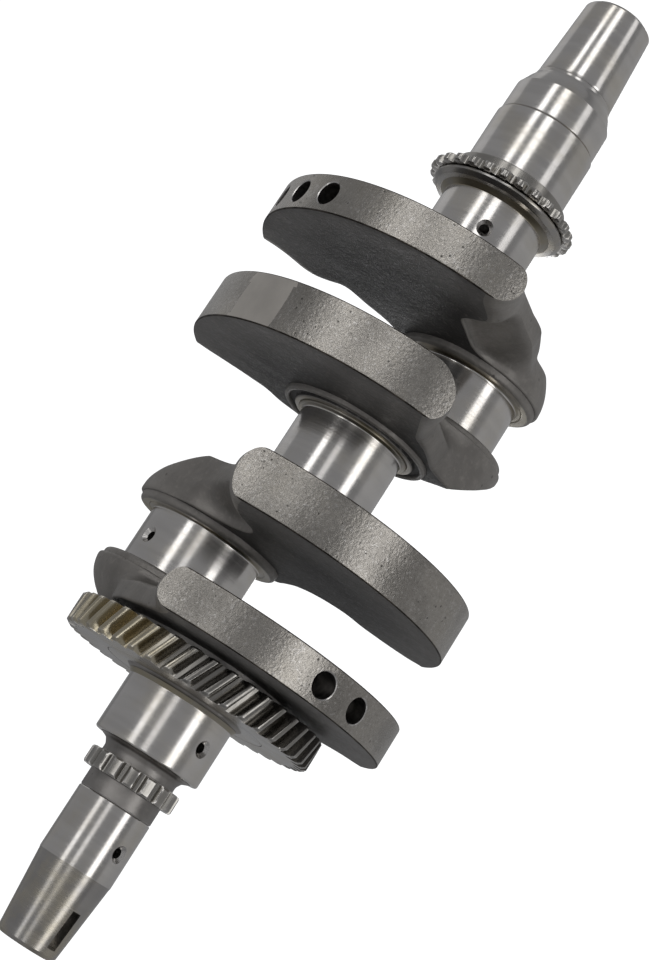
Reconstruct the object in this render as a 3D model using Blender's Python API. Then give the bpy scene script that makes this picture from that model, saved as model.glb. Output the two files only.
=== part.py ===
"""Forged crankshaft of a four-stroke parallel twin with its two crankpins a quarter turn apart.

Frame: +X runs along the main axis from the flywheel end to the clutch end, +Z is up, and
X = 0 is the middle of the centre main journal. The counterweights of webs 1 and 2 point up
and their pin points down; the counterweights of webs 3 and 4 point along -Y and their pin
points along +Y. The forging is one solid on the real shaft. Here it is cut into its webs,
pins and journals at their faces; the two gears, the sprocket and the plugs are separate.
"""
import math

import bmesh
import bpy
from mathutils import Matrix, Vector

MM = 0.001

# ---------------------------------------------------------------- driving dimensions
GAP = 0.3 * MM                      # clearance left between touching nodes
STROKE = 73.5 * MM
THROW = STROKE / 2                  # main axis to crankpin axis
MAIN_RADIUS = 22.0 * MM
PIN_RADIUS = 24.2 * MM
SEAL_RADIUS = 21.8 * MM

CENTRE_FACE = 19.6 * MM             # middle of the shaft to the main face of webs 2 and 3
INNER_WEB = 20.6 * MM               # thickness of webs 2 and 3
ROD_SPACE = 29.0 * MM               # web to web across one crankpin
OUTER_WEB = 16.2 * MM               # thickness of webs 1 and 4
INNER_FACE = CENTRE_FACE + INNER_WEB
OUTER_FACE = INNER_FACE + ROD_SPACE
WEB_END = OUTER_FACE + OUTER_WEB

# webs: counterweight rim, flanks and the nose round the crankpin
RIM_RADIUS = 74.0 * MM
RIM_ANGLE_FACE = math.radians(61.0)     # half angle of the rim at the web's faces
RIM_ANGLE_MIDDLE = math.radians(66.5)   # half angle at mid thickness, after forging draft
NOSE_RADIUS = 32.4 * MM             # at the pin face and at mid thickness
NOSE_RADIUS_MAIN = 25.0 * MM        # at the main face, where the nose is sloped away
NOSE_START = math.radians(22.0)         # the nose arc starts this far above its own centre
WAIST = ((54.5 * MM, 17.5 * MM), (46.5 * MM, 1.0 * MM), (36.5 * MM, -17.0 * MM))
WAIST_DRAFT = 1.6 * MM
RIM_STEPS = 20
NOSE_STEPS = 12
PIN_COLLAR_RADIUS = 30.8 * MM
PIN_COLLAR_HEIGHT = 3.0 * MM
MAIN_COLLARS = ((31.0 * MM, 1.2 * MM), (27.0 * MM, 2.4 * MM))   # radius, height from the web

# flywheel side of the shaft, as distances from the middle
GEAR_INNER = 88.6 * MM
GEAR_OUTER = 101.0 * MM
FLYWHEEL_MAIN_END = 127.4 * MM
NECK_RADIUS = 15.4 * MM
SPROCKET_INNER = 133.2 * MM
SPROCKET_OUTER = 140.3 * MM
SEAT_END = 147.6 * MM
NOSE_JOURNAL_RADIUS = 15.1 * MM
NOSE_JOURNAL_END = 174.3 * MM
FLYWHEEL_TAPER_END = 206.4 * MM
FLYWHEEL_TAPER_RADII = (14.85 * MM, 12.1 * MM)
HUB_RADIUS = 34.0 * MM              # press fit of the helical gear on its boss

# clutch side of the shaft
CLUTCH_MAIN_END = 121.6 * MM
COLLAR_END = 126.6 * MM
COLLAR_RADIUS = 28.8 * MM
RING_TOOTH_END = 130.2 * MM
RING_HUB_END = 136.2 * MM
RING_HUB_RADIUS = 24.6 * MM
SEAL_END = 162.0 * MM
SHOULDER_RADIUS = 21.15 * MM
SHOULDER_END = 173.6 * MM
CLUTCH_TAPER_START = 185.0 * MM
CLUTCH_TAPER_END = 221.6 * MM
CLUTCH_TAPER_RADII = (16.75 * MM, 14.85 * MM)
END_CHAMFER = 1.3 * MM

# toothed parts
HELICAL_TEETH = 41
HELICAL_TIP = 52.5 * MM
HELICAL_ROOT = 47.6 * MM
HELIX_ANGLE = math.radians(25.0)
SPROCKET_TEETH = 16
SPROCKET_TIP = 18.8 * MM
SPROCKET_ROOT = 16.9 * MM
RING_TEETH = 27
RING_TIP = 32.0 * MM
RING_ROOT = 29.4 * MM

# drillings, keyway and end bores
OIL_HOLE_RADIUS = 2.0 * MM
OIL_HOLE_DEPTH = 12.0 * MM
COUNTERSINK_RADIUS = 3.7 * MM
COUNTERSINK_DEPTH = 1.6 * MM
BALANCE_HOLE_RADIUS = 4.7 * MM
BALANCE_HOLE_DEPTH = 19.0 * MM
WEB_1_HOLES = (3.5, 17.5, 31.5)     # degrees round the rim from the middle of the counterweight
WEB_4_HOLES = (-1.0, 13.7)
KEYWAY_WIDTH = 4.3 * MM
KEYWAY_CUTTER_RADIUS = 9.5 * MM
KEYWAY_CENTRE = 195.1 * MM
KEYWAY_DEPTH = 4.6 * MM
END_BORE_RADIUS = 6.0 * MM
END_BORE_MOUTH = 7.4 * MM
END_BORE_DEPTH = 27.0 * MM
PLUG_RADIUS = 4.0 * MM
PLUG_LENGTH = 5.0 * MM
PLUG_OFFSET = 12.0 * MM             # from the pin axis, outwards along the throw

TURNED_STEPS = 48
SMALL_STEPS = 24
SHARP_ANGLE = math.radians(32.0)

# colours of the finishes, as base colour, roughness
GROUND = ((0.58, 0.57, 0.55), 0.22)
TURNED = ((0.36, 0.35, 0.34), 0.42)
FORGED = ((0.20, 0.19, 0.18), 0.55)
HOBBED = ((0.42, 0.40, 0.36), 0.34)
PLUGGED = ((0.48, 0.46, 0.42), 0.30)


# ---------------------------------------------------------------- helpers
def clear_scene():
    for item in list(bpy.data.objects):
        bpy.data.objects.remove(item, do_unlink=True)


def make_material(name, finish):
    colour, roughness = finish
    material = bpy.data.materials.new(name)
    material.use_nodes = True
    shader = material.node_tree.nodes["Principled BSDF"]
    shader.inputs["Base Color"].default_value = (*colour, 1.0)
    shader.inputs["Roughness"].default_value = roughness
    shader.inputs["Metallic"].default_value = 1.0
    material.diffuse_color = (*colour, 1.0)
    return material


def add_object(name, mesh_builder, finish=None):
    """Turn a bmesh into an object with its own material and shaded smooth between sharp edges."""
    bmesh.ops.recalc_face_normals(mesh_builder, faces=mesh_builder.faces)
    mesh = bpy.data.meshes.new(name)
    mesh_builder.to_mesh(mesh)
    mesh_builder.free()
    mesh.shade_smooth()
    mesh.set_sharp_from_angle(angle=SHARP_ANGLE)
    item = bpy.data.objects.new(name, mesh)
    bpy.context.collection.objects.link(item)
    if finish:
        mesh.materials.append(make_material(name, finish))
    return item


def hide_tool(item):
    item.hide_render = True
    item.display_type = "WIRE"


def combine(item, tool, operation):
    hide_tool(tool)
    modifier = item.modifiers.new(tool.name, "BOOLEAN")
    modifier.operation = operation
    modifier.solver = "EXACT"
    modifier.object = tool


def turn(profile, steps=TURNED_STEPS, ring=False):
    """Spin a profile of (x, radius) points round the X axis; a ring's profile closes on itself."""
    body = bmesh.new()
    points = [body.verts.new((x, 0.0, radius)) for x, radius in profile]
    pairs = list(zip(points, points[1:]))
    if ring:
        pairs.append((points[-1], points[0]))
    edges = [body.edges.new(pair) for pair in pairs]
    bmesh.ops.spin(body, geom=points + edges, cent=(0, 0, 0), axis=(1, 0, 0),
                   angle=2 * math.pi, steps=steps, use_merge=True)
    bmesh.ops.remove_doubles(body, verts=body.verts, dist=1e-6)
    return body


def solid_profile(start, end, outline):
    """Close an outline of (x, radius) points onto the axis at both ends."""
    return [(start, 0.0), *outline, (end, 0.0)]


def rod(start, end, radius, steps=SMALL_STEPS):
    return turn(solid_profile(start, end, [(start, radius), (end, radius)]), steps)


def loft(rings):
    """Skin rings that have equal numbers of points and cap the first and the last."""
    body = bmesh.new()
    rows = [[body.verts.new(point) for point in ring] for ring in rings]
    count = len(rows[0])
    for near, far in zip(rows, rows[1:]):
        for index in range(count):
            following = (index + 1) % count
            body.faces.new((near[index], near[following], far[following], far[index]))
    body.faces.new(rows[0])
    body.faces.new(rows[-1])
    return body


# ---------------------------------------------------------------- turned lengths of the shaft
def make_flywheel_taper():
    start = -FLYWHEEL_TAPER_END
    end = -NOSE_JOURNAL_END - GAP / 2
    large, small = FLYWHEEL_TAPER_RADII
    profile = [(start + END_BORE_DEPTH, 0.0), (start + END_BORE_DEPTH, END_BORE_RADIUS),
               (start + END_BORE_MOUTH - END_BORE_RADIUS, END_BORE_RADIUS), (start, END_BORE_MOUTH),
               (start, small - END_CHAMFER), (start + END_CHAMFER, small), (end, large), (end, 0.0)]
    taper = add_object("flywheel_taper", turn(profile), GROUND)
    combine(taper, make_keyway_tool(), "DIFFERENCE")


def make_keyway_tool():
    """A disc like the cutter of a half-moon keyway, sunk into the -Y side of the taper."""
    disc = bmesh.new()
    bmesh.ops.create_cone(disc, cap_ends=True, segments=48, radius1=KEYWAY_CUTTER_RADIUS,
                          radius2=KEYWAY_CUTTER_RADIUS, depth=KEYWAY_WIDTH)
    tool = add_object("keyway_tool", disc)
    surface = sum(FLYWHEEL_TAPER_RADII) / 2
    tool.location = (-KEYWAY_CENTRE, -(surface - KEYWAY_DEPTH + KEYWAY_CUTTER_RADIUS), 0.0)
    return tool


def make_oil_hole_tool(name, x, angle, centre, surface_radius):
    """A drilling with a countersunk mouth, square to a journal; angle is from +Z towards +Y."""
    inside = surface_radius - OIL_HOLE_DEPTH
    sink = surface_radius - COUNTERSINK_DEPTH
    outside = surface_radius + COUNTERSINK_DEPTH
    flare = 2 * COUNTERSINK_RADIUS - OIL_HOLE_RADIUS
    outline = [(inside, OIL_HOLE_RADIUS), (sink, OIL_HOLE_RADIUS), (outside, flare)]
    tool = add_object(name, turn(solid_profile(inside, outside, outline), SMALL_STEPS))
    direction = Vector((0.0, math.sin(angle), math.cos(angle)))
    tool.matrix_world = (Matrix.Translation(Vector((x, 0.0, 0.0)) + Vector(centre))
                         @ direction.to_track_quat("X", "Z").to_matrix().to_4x4())
    return tool


def drill_oil_hole(item, x, degrees, surface_radius, centre=(0.0, 0.0, 0.0)):
    tool = make_oil_hole_tool(item.name + "_oil_tool", x, math.radians(degrees), centre, surface_radius)
    combine(item, tool, "DIFFERENCE")


def make_plain_length(name, start, end, radius, finish=GROUND):
    near = start + GAP / 2
    far = end - GAP / 2
    return add_object(name, rod(near, far, radius, TURNED_STEPS), finish)


def make_sprocket_seat():
    """The necked length between the flywheel-side main journal and the nose journal."""
    start = -SEAT_END + GAP / 2
    end = -FLYWHEEL_MAIN_END - GAP / 2
    seat = SPROCKET_ROOT - 2.2 * MM
    neck_start = -SPROCKET_INNER + 1.2 * MM
    outline = [(start, NOSE_JOURNAL_RADIUS - 0.3 * MM), (-SPROCKET_OUTER, seat), (neck_start, seat),
               (neck_start + 1.6 * MM, NECK_RADIUS), (end - 1.2 * MM, NECK_RADIUS + 1.2 * MM),
               (end, NECK_RADIUS + 3.6 * MM)]
    add_object("sprocket_seat", turn(solid_profile(start, end, outline)), TURNED)


def make_gear_boss():
    """The boss that carries the helical gear, with the small step where the journal starts."""
    start = -GEAR_OUTER
    end = -WEB_END - GAP
    outline = [(start - 1.6 * MM + GAP, MAIN_RADIUS + 0.4 * MM), (start, MAIN_RADIUS + 2.6 * MM),
               (start, HUB_RADIUS - GAP), (end, HUB_RADIUS - GAP)]
    boss_start = outline[0][0]
    add_object("gear_boss", turn(solid_profile(boss_start, end, outline)), TURNED)


def make_clutch_side():
    journal_start = WEB_END + MAIN_COLLARS[1][1]
    clutch_main = make_plain_length("clutch_main_journal", journal_start, CLUTCH_MAIN_END, MAIN_RADIUS)
    drill_oil_hole(clutch_main, 108.8 * MM, -43.8, MAIN_RADIUS)

    start = CLUTCH_MAIN_END + GAP / 2
    end = COLLAR_END - GAP / 2
    outline = [(start, MAIN_RADIUS + 0.2 * MM), (start + 1.8 * MM, MAIN_RADIUS + 2.8 * MM),
               (start + 1.8 * MM, COLLAR_RADIUS - 1.6 * MM), (start + 3.0 * MM, COLLAR_RADIUS),
               (end, COLLAR_RADIUS)]
    add_object("thrust_collar", turn(solid_profile(start, end, outline)), TURNED)

    make_plain_length("seal_journal", COLLAR_END, SEAL_END, SEAL_RADIUS)

    start = SEAL_END + GAP / 2
    end = CLUTCH_TAPER_START - GAP / 2
    taper_radius = CLUTCH_TAPER_RADII[0]
    outline = [(start, SHOULDER_RADIUS), (SHOULDER_END, SHOULDER_RADIUS - 0.2 * MM),
               (SHOULDER_END + 1.6 * MM, SHOULDER_RADIUS - 0.9 * MM),
               (SHOULDER_END + 5.0 * MM, taper_radius + 2.0 * MM),
               (SHOULDER_END + 8.2 * MM, taper_radius + 0.5 * MM), (end, taper_radius)]
    add_object("clutch_shoulder", turn(solid_profile(start, end, outline)), TURNED)

    start = CLUTCH_TAPER_START + GAP / 2
    end = CLUTCH_TAPER_END
    large, small = CLUTCH_TAPER_RADII
    profile = [(start, 0.0), (start, large), (end - END_CHAMFER, small), (end, small - END_CHAMFER),
               (end, END_BORE_MOUTH), (end - END_BORE_MOUTH + END_BORE_RADIUS, END_BORE_RADIUS),
               (end - END_BORE_DEPTH, END_BORE_RADIUS), (end - END_BORE_DEPTH, 0.0)]
    add_object("clutch_taper", turn(profile), GROUND)


def make_flywheel_side():
    make_flywheel_taper()
    nose = make_plain_length("nose_journal", -NOSE_JOURNAL_END, -SEAT_END, NOSE_JOURNAL_RADIUS)
    drill_oil_hole(nose, -161.8 * MM, -92.0, NOSE_JOURNAL_RADIUS)
    make_sprocket_seat()
    journal_end = -GEAR_OUTER - 1.6 * MM
    flywheel_main = make_plain_length("flywheel_main_journal", -FLYWHEEL_MAIN_END, journal_end, MAIN_RADIUS)
    drill_oil_hole(flywheel_main, -114.6 * MM, -91.6, MAIN_RADIUS)
    make_gear_boss()


# ---------------------------------------------------------------- webs and pins
def web_outline(share, nose_radius):
    """Outline in the web's plane, counterweight upwards; share is 0 at a face and 1 mid thickness."""
    half = RIM_ANGLE_FACE + (RIM_ANGLE_MIDDLE - RIM_ANGLE_FACE) * share
    points = []
    for step in range(RIM_STEPS + 1):
        angle = half - 2 * half * step / RIM_STEPS
        points.append((RIM_RADIUS * math.sin(angle), RIM_RADIUS * math.cos(angle)))
    swell = WAIST_DRAFT * share
    points += [(-across - swell, up - swell) for across, up in WAIST]
    sweep = math.pi + 2 * NOSE_START
    for step in range(NOSE_STEPS + 1):
        angle = math.pi - NOSE_START + sweep * step / NOSE_STEPS
        points.append((nose_radius * math.cos(angle), nose_radius * math.sin(angle) - THROW))
    points += [(across + swell, up - swell) for across, up in reversed(WAIST)]
    return points


def make_collars(name, centre, face, direction, collars):
    """Stepped thrust rings standing on one face of a web; direction is the sign of X."""
    root = face - direction * 2 * MM
    outline = [(root, collars[0][0])]
    for index, (radius, height) in enumerate(collars):
        if index:
            outline.append((outline[-1][0], radius))
        outline.append((face + direction * height, radius))
    tip = outline[-1][0]
    body = turn(solid_profile(root, tip, outline))
    bmesh.ops.translate(body, verts=body.verts, vec=centre)
    return add_object(name, body)


def make_web(name, start, end, pin_direction, quarter_turns, balance_holes):
    """One web. pin_direction is the sign of X of the face that carries the crankpin. Webs 1 and 2
    stand as drawn; webs 3 and 4 are a quarter turn on, with their counterweight along -Y."""
    middle = (start + end) / 2
    pin_face = end if pin_direction > 0 else start
    main_face = start if pin_direction > 0 else end
    layers = ((main_face, 0.0, NOSE_RADIUS_MAIN), (middle, 1.0, NOSE_RADIUS), (pin_face, 0.0, NOSE_RADIUS))
    rings = []
    for x, share, nose_radius in layers:
        rings.append([(x, -across, up) for across, up in web_outline(share, nose_radius)])
    web = add_object(name, loft(rings), FORGED)
    pin_collars = make_collars(name + "_pin_collar", (0.0, 0.0, -THROW), pin_face, pin_direction,
                               ((PIN_COLLAR_RADIUS, PIN_COLLAR_HEIGHT),))
    main_collars = make_collars(name + "_main_collar", (0.0, 0.0, 0.0), main_face, -pin_direction,
                                MAIN_COLLARS)
    tools = [(pin_collars, "UNION")]
    if name != "web_4":
        tools.append((main_collars, "UNION"))
    else:
        bpy.data.objects.remove(main_collars, do_unlink=True)
    for number, degrees in enumerate(balance_holes):
        depth = RIM_RADIUS - BALANCE_HOLE_DEPTH
        tip = depth - BALANCE_HOLE_RADIUS / 2
        outline = [(depth, BALANCE_HOLE_RADIUS), (RIM_RADIUS + 2 * MM, BALANCE_HOLE_RADIUS)]
        drill = add_object("%s_drill_%d" % (name, number + 1),
                           turn(solid_profile(tip, RIM_RADIUS + 2 * MM, outline), SMALL_STEPS))
        angle = math.radians(degrees)
        direction = Vector((0.0, math.sin(angle), math.cos(angle)))
        drill.matrix_world = (Matrix.Translation((middle, 0.0, 0.0))
                              @ direction.to_track_quat("X", "Z").to_matrix().to_4x4())
        tools.append((drill, "DIFFERENCE"))
    about_x = Matrix.Rotation(quarter_turns * math.pi / 2, 4, "X")
    for tool, operation in tools:
        tool.matrix_world = about_x @ tool.matrix_basis
        combine(web, tool, operation)
    web.rotation_euler = (quarter_turns * math.pi / 2, 0.0, 0.0)
    return web


def drill_plug_seat(web, name, face, direction, quarter_turns):
    """A blind hole on the outer side of a web's nose, with the steel plug that closes it."""
    up = -THROW - PLUG_OFFSET
    turn_about_x = Matrix.Rotation(quarter_turns * math.pi / 2, 4, "X")
    inner = face - direction * (PLUG_LENGTH + GAP)
    seat = add_object(name + "_seat", rod(inner, face + direction * MM, PLUG_RADIUS + GAP))
    plug = add_object(name, rod(inner + direction * GAP, face - direction * GAP, PLUG_RADIUS), PLUGGED)
    for item in (seat, plug):
        item.matrix_world = turn_about_x @ Matrix.Translation((0.0, 0.0, up))
    combine(web, seat, "DIFFERENCE")


def make_webs():
    web_1 = make_web("web_1", OUTER_FACE, WEB_END, -1, 0, WEB_1_HOLES)
    make_web("web_2", CENTRE_FACE, INNER_FACE, 1, 0, ())
    make_web("web_3", -INNER_FACE, -CENTRE_FACE, -1, 1, ())
    web_4 = make_web("web_4", -WEB_END, -OUTER_FACE, 1, 1, WEB_4_HOLES)
    drill_plug_seat(web_1, "oil_plug_pin_1", WEB_END, 1, 0)
    drill_plug_seat(web_4, "oil_plug_pin_2", -WEB_END, -1, 1)


def make_pins():
    start = INNER_FACE + PIN_COLLAR_HEIGHT
    end = OUTER_FACE - PIN_COLLAR_HEIGHT
    pin_1 = make_plain_length("crankpin_1", start, end, PIN_RADIUS)
    pin_1.location = (0.0, 0.0, -THROW)
    drill_oil_hole(pin_1, (start + end) / 2, -187.0, PIN_RADIUS, (0.0, 0.0, -THROW))
    pin_2 = make_plain_length("crankpin_2", -end, -start, PIN_RADIUS)
    pin_2.location = (0.0, THROW, 0.0)
    drill_oil_hole(pin_2, -(start + end) / 2, 7.3, PIN_RADIUS, (0.0, THROW, 0.0))
    centre_end = CENTRE_FACE - MAIN_COLLARS[1][1]
    centre = make_plain_length("centre_main_journal", -centre_end, centre_end, MAIN_RADIUS)
    drill_oil_hole(centre, 0.0, 135.0, MAIN_RADIUS)


# ---------------------------------------------------------------- toothed parts and end plug
def toothed_ring(teeth, tooth, sections, bore):
    """Skin a toothed ring with a bore. tooth is four (share of pitch, radius) points from one
    root over the tip to the next root; sections are (x, turn) from the flywheel side."""
    pitch = 2 * math.pi / teeth
    last = len(tooth) - 1
    body = bmesh.new()

    def point(x, radius, share, number, lead):
        angle = (number + share) * pitch + lead
        return body.verts.new((x, -radius * math.sin(angle), radius * math.cos(angle)))

    rims = []
    eyes = []
    for x, lead in sections:
        rims.append([[point(x, radius, share, number, lead) for share, radius in tooth]
                     for number in range(teeth)])
        eyes.append([[point(x, bore, tooth[end][0], number, lead) for end in (0, last)]
                     for number in range(teeth)])

    def skin(near, far):
        near = [item for group in near for item in group]
        far = [item for group in far for item in group]
        for index in range(len(near)):
            following = (index + 1) % len(near)
            body.faces.new((near[index], near[following], far[following], far[index]))

    for index in range(len(sections) - 1):
        skin(rims[index], rims[index + 1])
        skin(eyes[index], eyes[index + 1])
    for rim, eye in ((rims[0], eyes[0]), (rims[-1], eyes[-1])):
        for number in range(teeth):
            following = (number + 1) % teeth
            body.faces.new((eye[number][0], *rim[number], eye[number][1]))
            body.faces.new((eye[number][1], rim[number][last], rim[following][0], eye[following][0]))
    return body


def make_helical_gear():
    width = GEAR_OUTER - GEAR_INNER
    lead = width * math.tan(HELIX_ANGLE) / HELICAL_TIP
    tooth = ((-0.30, HELICAL_ROOT), (-0.13, HELICAL_TIP), (0.13, HELICAL_TIP), (0.30, HELICAL_ROOT))
    sections = [(-GEAR_OUTER + width * share, lead * share) for share in (0.0, 0.5, 1.0)]
    add_object("balancer_drive_gear", toothed_ring(HELICAL_TEETH, tooth, sections, HUB_RADIUS), HOBBED)


def make_timing_sprocket():
    tooth = ((-0.36, SPROCKET_ROOT), (-0.20, SPROCKET_TIP), (0.20, SPROCKET_TIP), (0.36, SPROCKET_ROOT))
    sections = ((-SPROCKET_OUTER, 0.0), (-SPROCKET_INNER, 0.0))
    bore = SPROCKET_ROOT - 1.8 * MM
    add_object("timing_sprocket", toothed_ring(SPROCKET_TEETH, tooth, sections, bore), HOBBED)


def make_pump_ring():
    """The thin chain ring and its hub, slipped over the seal journal against the collar."""
    bore = SEAL_RADIUS + GAP
    tooth = ((-0.34, RING_ROOT), (-0.14, RING_TIP), (0.14, RING_TIP), (0.34, RING_ROOT))
    sections = ((COLLAR_END + GAP / 2, 0.0), (RING_TOOTH_END, 0.0))
    ring = add_object("pump_drive_ring", toothed_ring(RING_TEETH, tooth, sections, bore), HOBBED)
    start = COLLAR_END + 2 * MM
    hub_profile = [(start, bore), (start, RING_HUB_RADIUS), (RING_HUB_END - 0.8 * MM, RING_HUB_RADIUS),
                   (RING_HUB_END, RING_HUB_RADIUS - 0.8 * MM), (RING_HUB_END, bore)]
    hub = add_object("pump_ring_hub_tool", turn(hub_profile, ring=True))
    combine(ring, hub, "UNION")


def make_gallery_plug():
    """The plug that closes the oil gallery at the bottom of the flywheel-end bore."""
    start = -FLYWHEEL_TAPER_END + END_BORE_DEPTH - PLUG_LENGTH - GAP
    end = start + PLUG_LENGTH
    add_object("gallery_plug", rod(start, end, END_BORE_RADIUS - GAP), PLUGGED)


def main():
    clear_scene()
    make_flywheel_side()
    make_webs()
    make_pins()
    make_clutch_side()
    make_helical_gear()
    make_timing_sprocket()
    make_pump_ring()
    make_gallery_plug()


main()
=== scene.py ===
"""Crankshaft of a parallel twin: the detailed pieces, their finishes and a plain pale studio.

The shaft lies along X. Webs 1 and 2 carry their counterweights up, webs 3 and 4 towards -Y,
so every web is drawn once, counterweight up, and the last two are turned a quarter about X.
"""
import math

import bmesh
import bpy
import numpy as np
from bpy.props import FloatProperty, FloatVectorProperty, IntProperty, PointerProperty
from mathutils import Matrix, Vector, noise
from mathutils.geometry import delaunay_2d_cdt


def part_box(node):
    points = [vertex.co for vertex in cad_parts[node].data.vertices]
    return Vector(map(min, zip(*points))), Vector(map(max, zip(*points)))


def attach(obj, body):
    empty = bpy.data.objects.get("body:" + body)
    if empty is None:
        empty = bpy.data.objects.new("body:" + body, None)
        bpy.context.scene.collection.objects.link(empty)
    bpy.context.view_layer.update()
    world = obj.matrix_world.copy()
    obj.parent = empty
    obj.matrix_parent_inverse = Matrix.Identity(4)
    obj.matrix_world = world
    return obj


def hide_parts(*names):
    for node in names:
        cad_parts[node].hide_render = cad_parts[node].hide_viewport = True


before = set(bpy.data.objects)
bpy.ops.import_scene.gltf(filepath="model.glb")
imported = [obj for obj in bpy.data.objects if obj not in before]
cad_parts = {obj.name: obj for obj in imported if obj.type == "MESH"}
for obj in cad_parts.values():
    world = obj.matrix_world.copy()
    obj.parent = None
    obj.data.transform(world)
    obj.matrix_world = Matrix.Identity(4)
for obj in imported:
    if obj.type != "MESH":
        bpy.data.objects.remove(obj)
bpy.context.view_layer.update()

bl_info = {
    "name": "Crankshaft Maker",
    "version": (1, 0, 0),
    "blender": (4, 5, 0),
    "location": "3D View > Sidebar > Crankshaft",
    "description": "Builds a forged two-cylinder crankshaft with its gears and finishes",
    "category": "Add Mesh",
}

MM = 0.001
BODY = "root"
TURN = 2 * math.pi


# ---------------------------------------------------------------- places read from the frame
def span(node):
    """Lowest and highest X of a node."""
    low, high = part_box(node)
    return low[0], high[0]


def half_height(node):
    """Half the height of a node: the radius of a turned one."""
    low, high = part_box(node)
    return (high[2] - low[2]) / 2


def middle(node):
    """Centre of a node's box."""
    low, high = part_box(node)
    return (Vector(low) + Vector(high)) / 2


MAIN_RADIUS = half_height("centre_main_journal")
PIN_RADIUS = half_height("crankpin_1")
THROW = -middle("crankpin_1").z
NOSE_RADIUS = 32.4 * MM
RIM_RADIUS = 74.0 * MM
PIN_COLLAR_RADIUS = 30.8 * MM
PIN_COLLAR_HEIGHT = 3.0 * MM


# ---------------------------------------------------------------- settings a user would change
class CrankshaftSizes(bpy.types.PropertyGroup):
    """Small sizes of the machined and forged shape"""

    pin_fillet: FloatProperty(
        name="Pin fillet", description="Radius between a crankpin and its collar",
        default=2.2 * MM, min=0.5 * MM, max=3.0 * MM, unit="LENGTH")
    oil_hole: FloatProperty(
        name="Oil hole", description="Radius of the oil drillings",
        default=2.0 * MM, min=1.0 * MM, max=3.0 * MM, unit="LENGTH")
    countersink: FloatProperty(
        name="Countersink", description="Radius of an oil drilling's mouth",
        default=3.5 * MM, min=2.0 * MM, max=5.0 * MM, unit="LENGTH")
    balance_hole: FloatProperty(
        name="Balance hole", description="Radius of the holes drilled in the rims",
        default=4.9 * MM, min=3.0 * MM, max=5.5 * MM, unit="LENGTH")
    face_edge: FloatProperty(
        name="Forged edge", description="Edge radius between a web's faces and its flanks",
        default=0.9 * MM, min=0.2 * MM, max=2.0 * MM, unit="LENGTH")
    rim_edge: FloatProperty(
        name="Rim edge", description="Edge radius of the machined rims",
        default=0.5 * MM, min=0.1 * MM, max=1.0 * MM, unit="LENGTH")
    forging_wave: FloatProperty(
        name="Forging wave", description="Height of the slow waves in the forged skin",
        default=0.22 * MM, min=0.0, max=1.0 * MM, unit="LENGTH")
    gear_teeth: IntProperty(
        name="Gear teeth", description="Teeth of the balancer drive gear", default=41, min=12, max=80)
    sprocket_teeth: IntProperty(
        name="Sprocket teeth", description="Teeth of the timing sprocket", default=16, min=8, max=40)
    ring_teeth: IntProperty(
        name="Chain ring teeth", description="Teeth of the pump drive ring", default=27, min=8, max=60)


def colour_setting(label, text, value):
    """A colour for the panel."""
    return FloatVectorProperty(name=label, description=text, default=value, min=0.0, max=1.0,
                               size=3, subtype="COLOR")


class CrankshaftColours(bpy.types.PropertyGroup):
    """Colours of the finishes"""

    ground: colour_setting("Ground steel", "Journals, pins and tapers", (0.60, 0.58, 0.56))
    warm: colour_setting("Oil tint", "Thin golden film in the fillets and on the teeth", (0.56, 0.49, 0.34))
    turned: colour_setting("Turned steel", "Collars, neck and shoulders", (0.30, 0.285, 0.27))
    rim: colour_setting("Rim steel", "Machined rims of the counterweights", (0.350, 0.330, 0.302))
    forged: colour_setting("Forged skin", "Flanks and noses of the webs", (0.225, 0.212, 0.197))
    # the web faces' colour is the flank skin darkened as painted shade
    face: colour_setting("Web face", "Darker flat faces of the webs", (0.115, 0.110, 0.106))
    hobbed: colour_setting("Hobbed steel", "Flanks of the gear teeth", (0.28, 0.268, 0.248))
    plug: colour_setting("Plug steel", "Pressed plugs", (0.40, 0.39, 0.37))
    floor: colour_setting("Floor", "Studio floor", (0.66, 0.66, 0.66))


def sizes():
    return bpy.context.scene.crankshaft_sizes


def colours():
    return bpy.context.scene.crankshaft_colours


# ---------------------------------------------------------------- shader groups
def new_group(name, inputs, outputs):
    """An empty shader group with its sockets: (label, kind, default) in, (label, kind) out."""
    tree = bpy.data.node_groups.new(name, "ShaderNodeTree")
    for label, kind, value in inputs:
        socket = tree.interface.new_socket(label, in_out="INPUT", socket_type=kind)
        if value is not None:
            socket.default_value = value
    for label, kind in outputs:
        tree.interface.new_socket(label, in_out="OUTPUT", socket_type=kind)
    return tree, tree.nodes.new("NodeGroupInput"), tree.nodes.new("NodeGroupOutput")


def math_node(tree, operation, first, second=0.0, third=None, clamp=False):
    """A Math node fed by sockets or numbers; returns its output."""
    node = tree.nodes.new("ShaderNodeMath")
    node.operation = operation
    node.use_clamp = clamp
    for index, value in enumerate((first, second, third)):
        if value is None:
            continue
        if isinstance(value, bpy.types.NodeSocket):
            tree.links.new(value, node.inputs[index])
        else:
            node.inputs[index].default_value = value
    return node.outputs[0]


def ramp_node(tree, value, low, high, start=0.0, end=1.0):
    """Map value from low..high onto start..end, smoothly and clamped."""
    node = tree.nodes.new("ShaderNodeMapRange")
    node.interpolation_type = "SMOOTHSTEP"
    tree.links.new(value, node.inputs["Value"])
    for label, number in (("From Min", low), ("From Max", high), ("To Min", start), ("To Max", end)):
        if isinstance(number, bpy.types.NodeSocket):
            tree.links.new(number, node.inputs[label])
        else:
            node.inputs[label].default_value = number
    return node.outputs["Result"]


MIX_COLOUR_INPUTS = (0, 6, 7)         # a Mix node's factor and its two colour inputs
MIX_COLOUR_OUTPUT = 2


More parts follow.
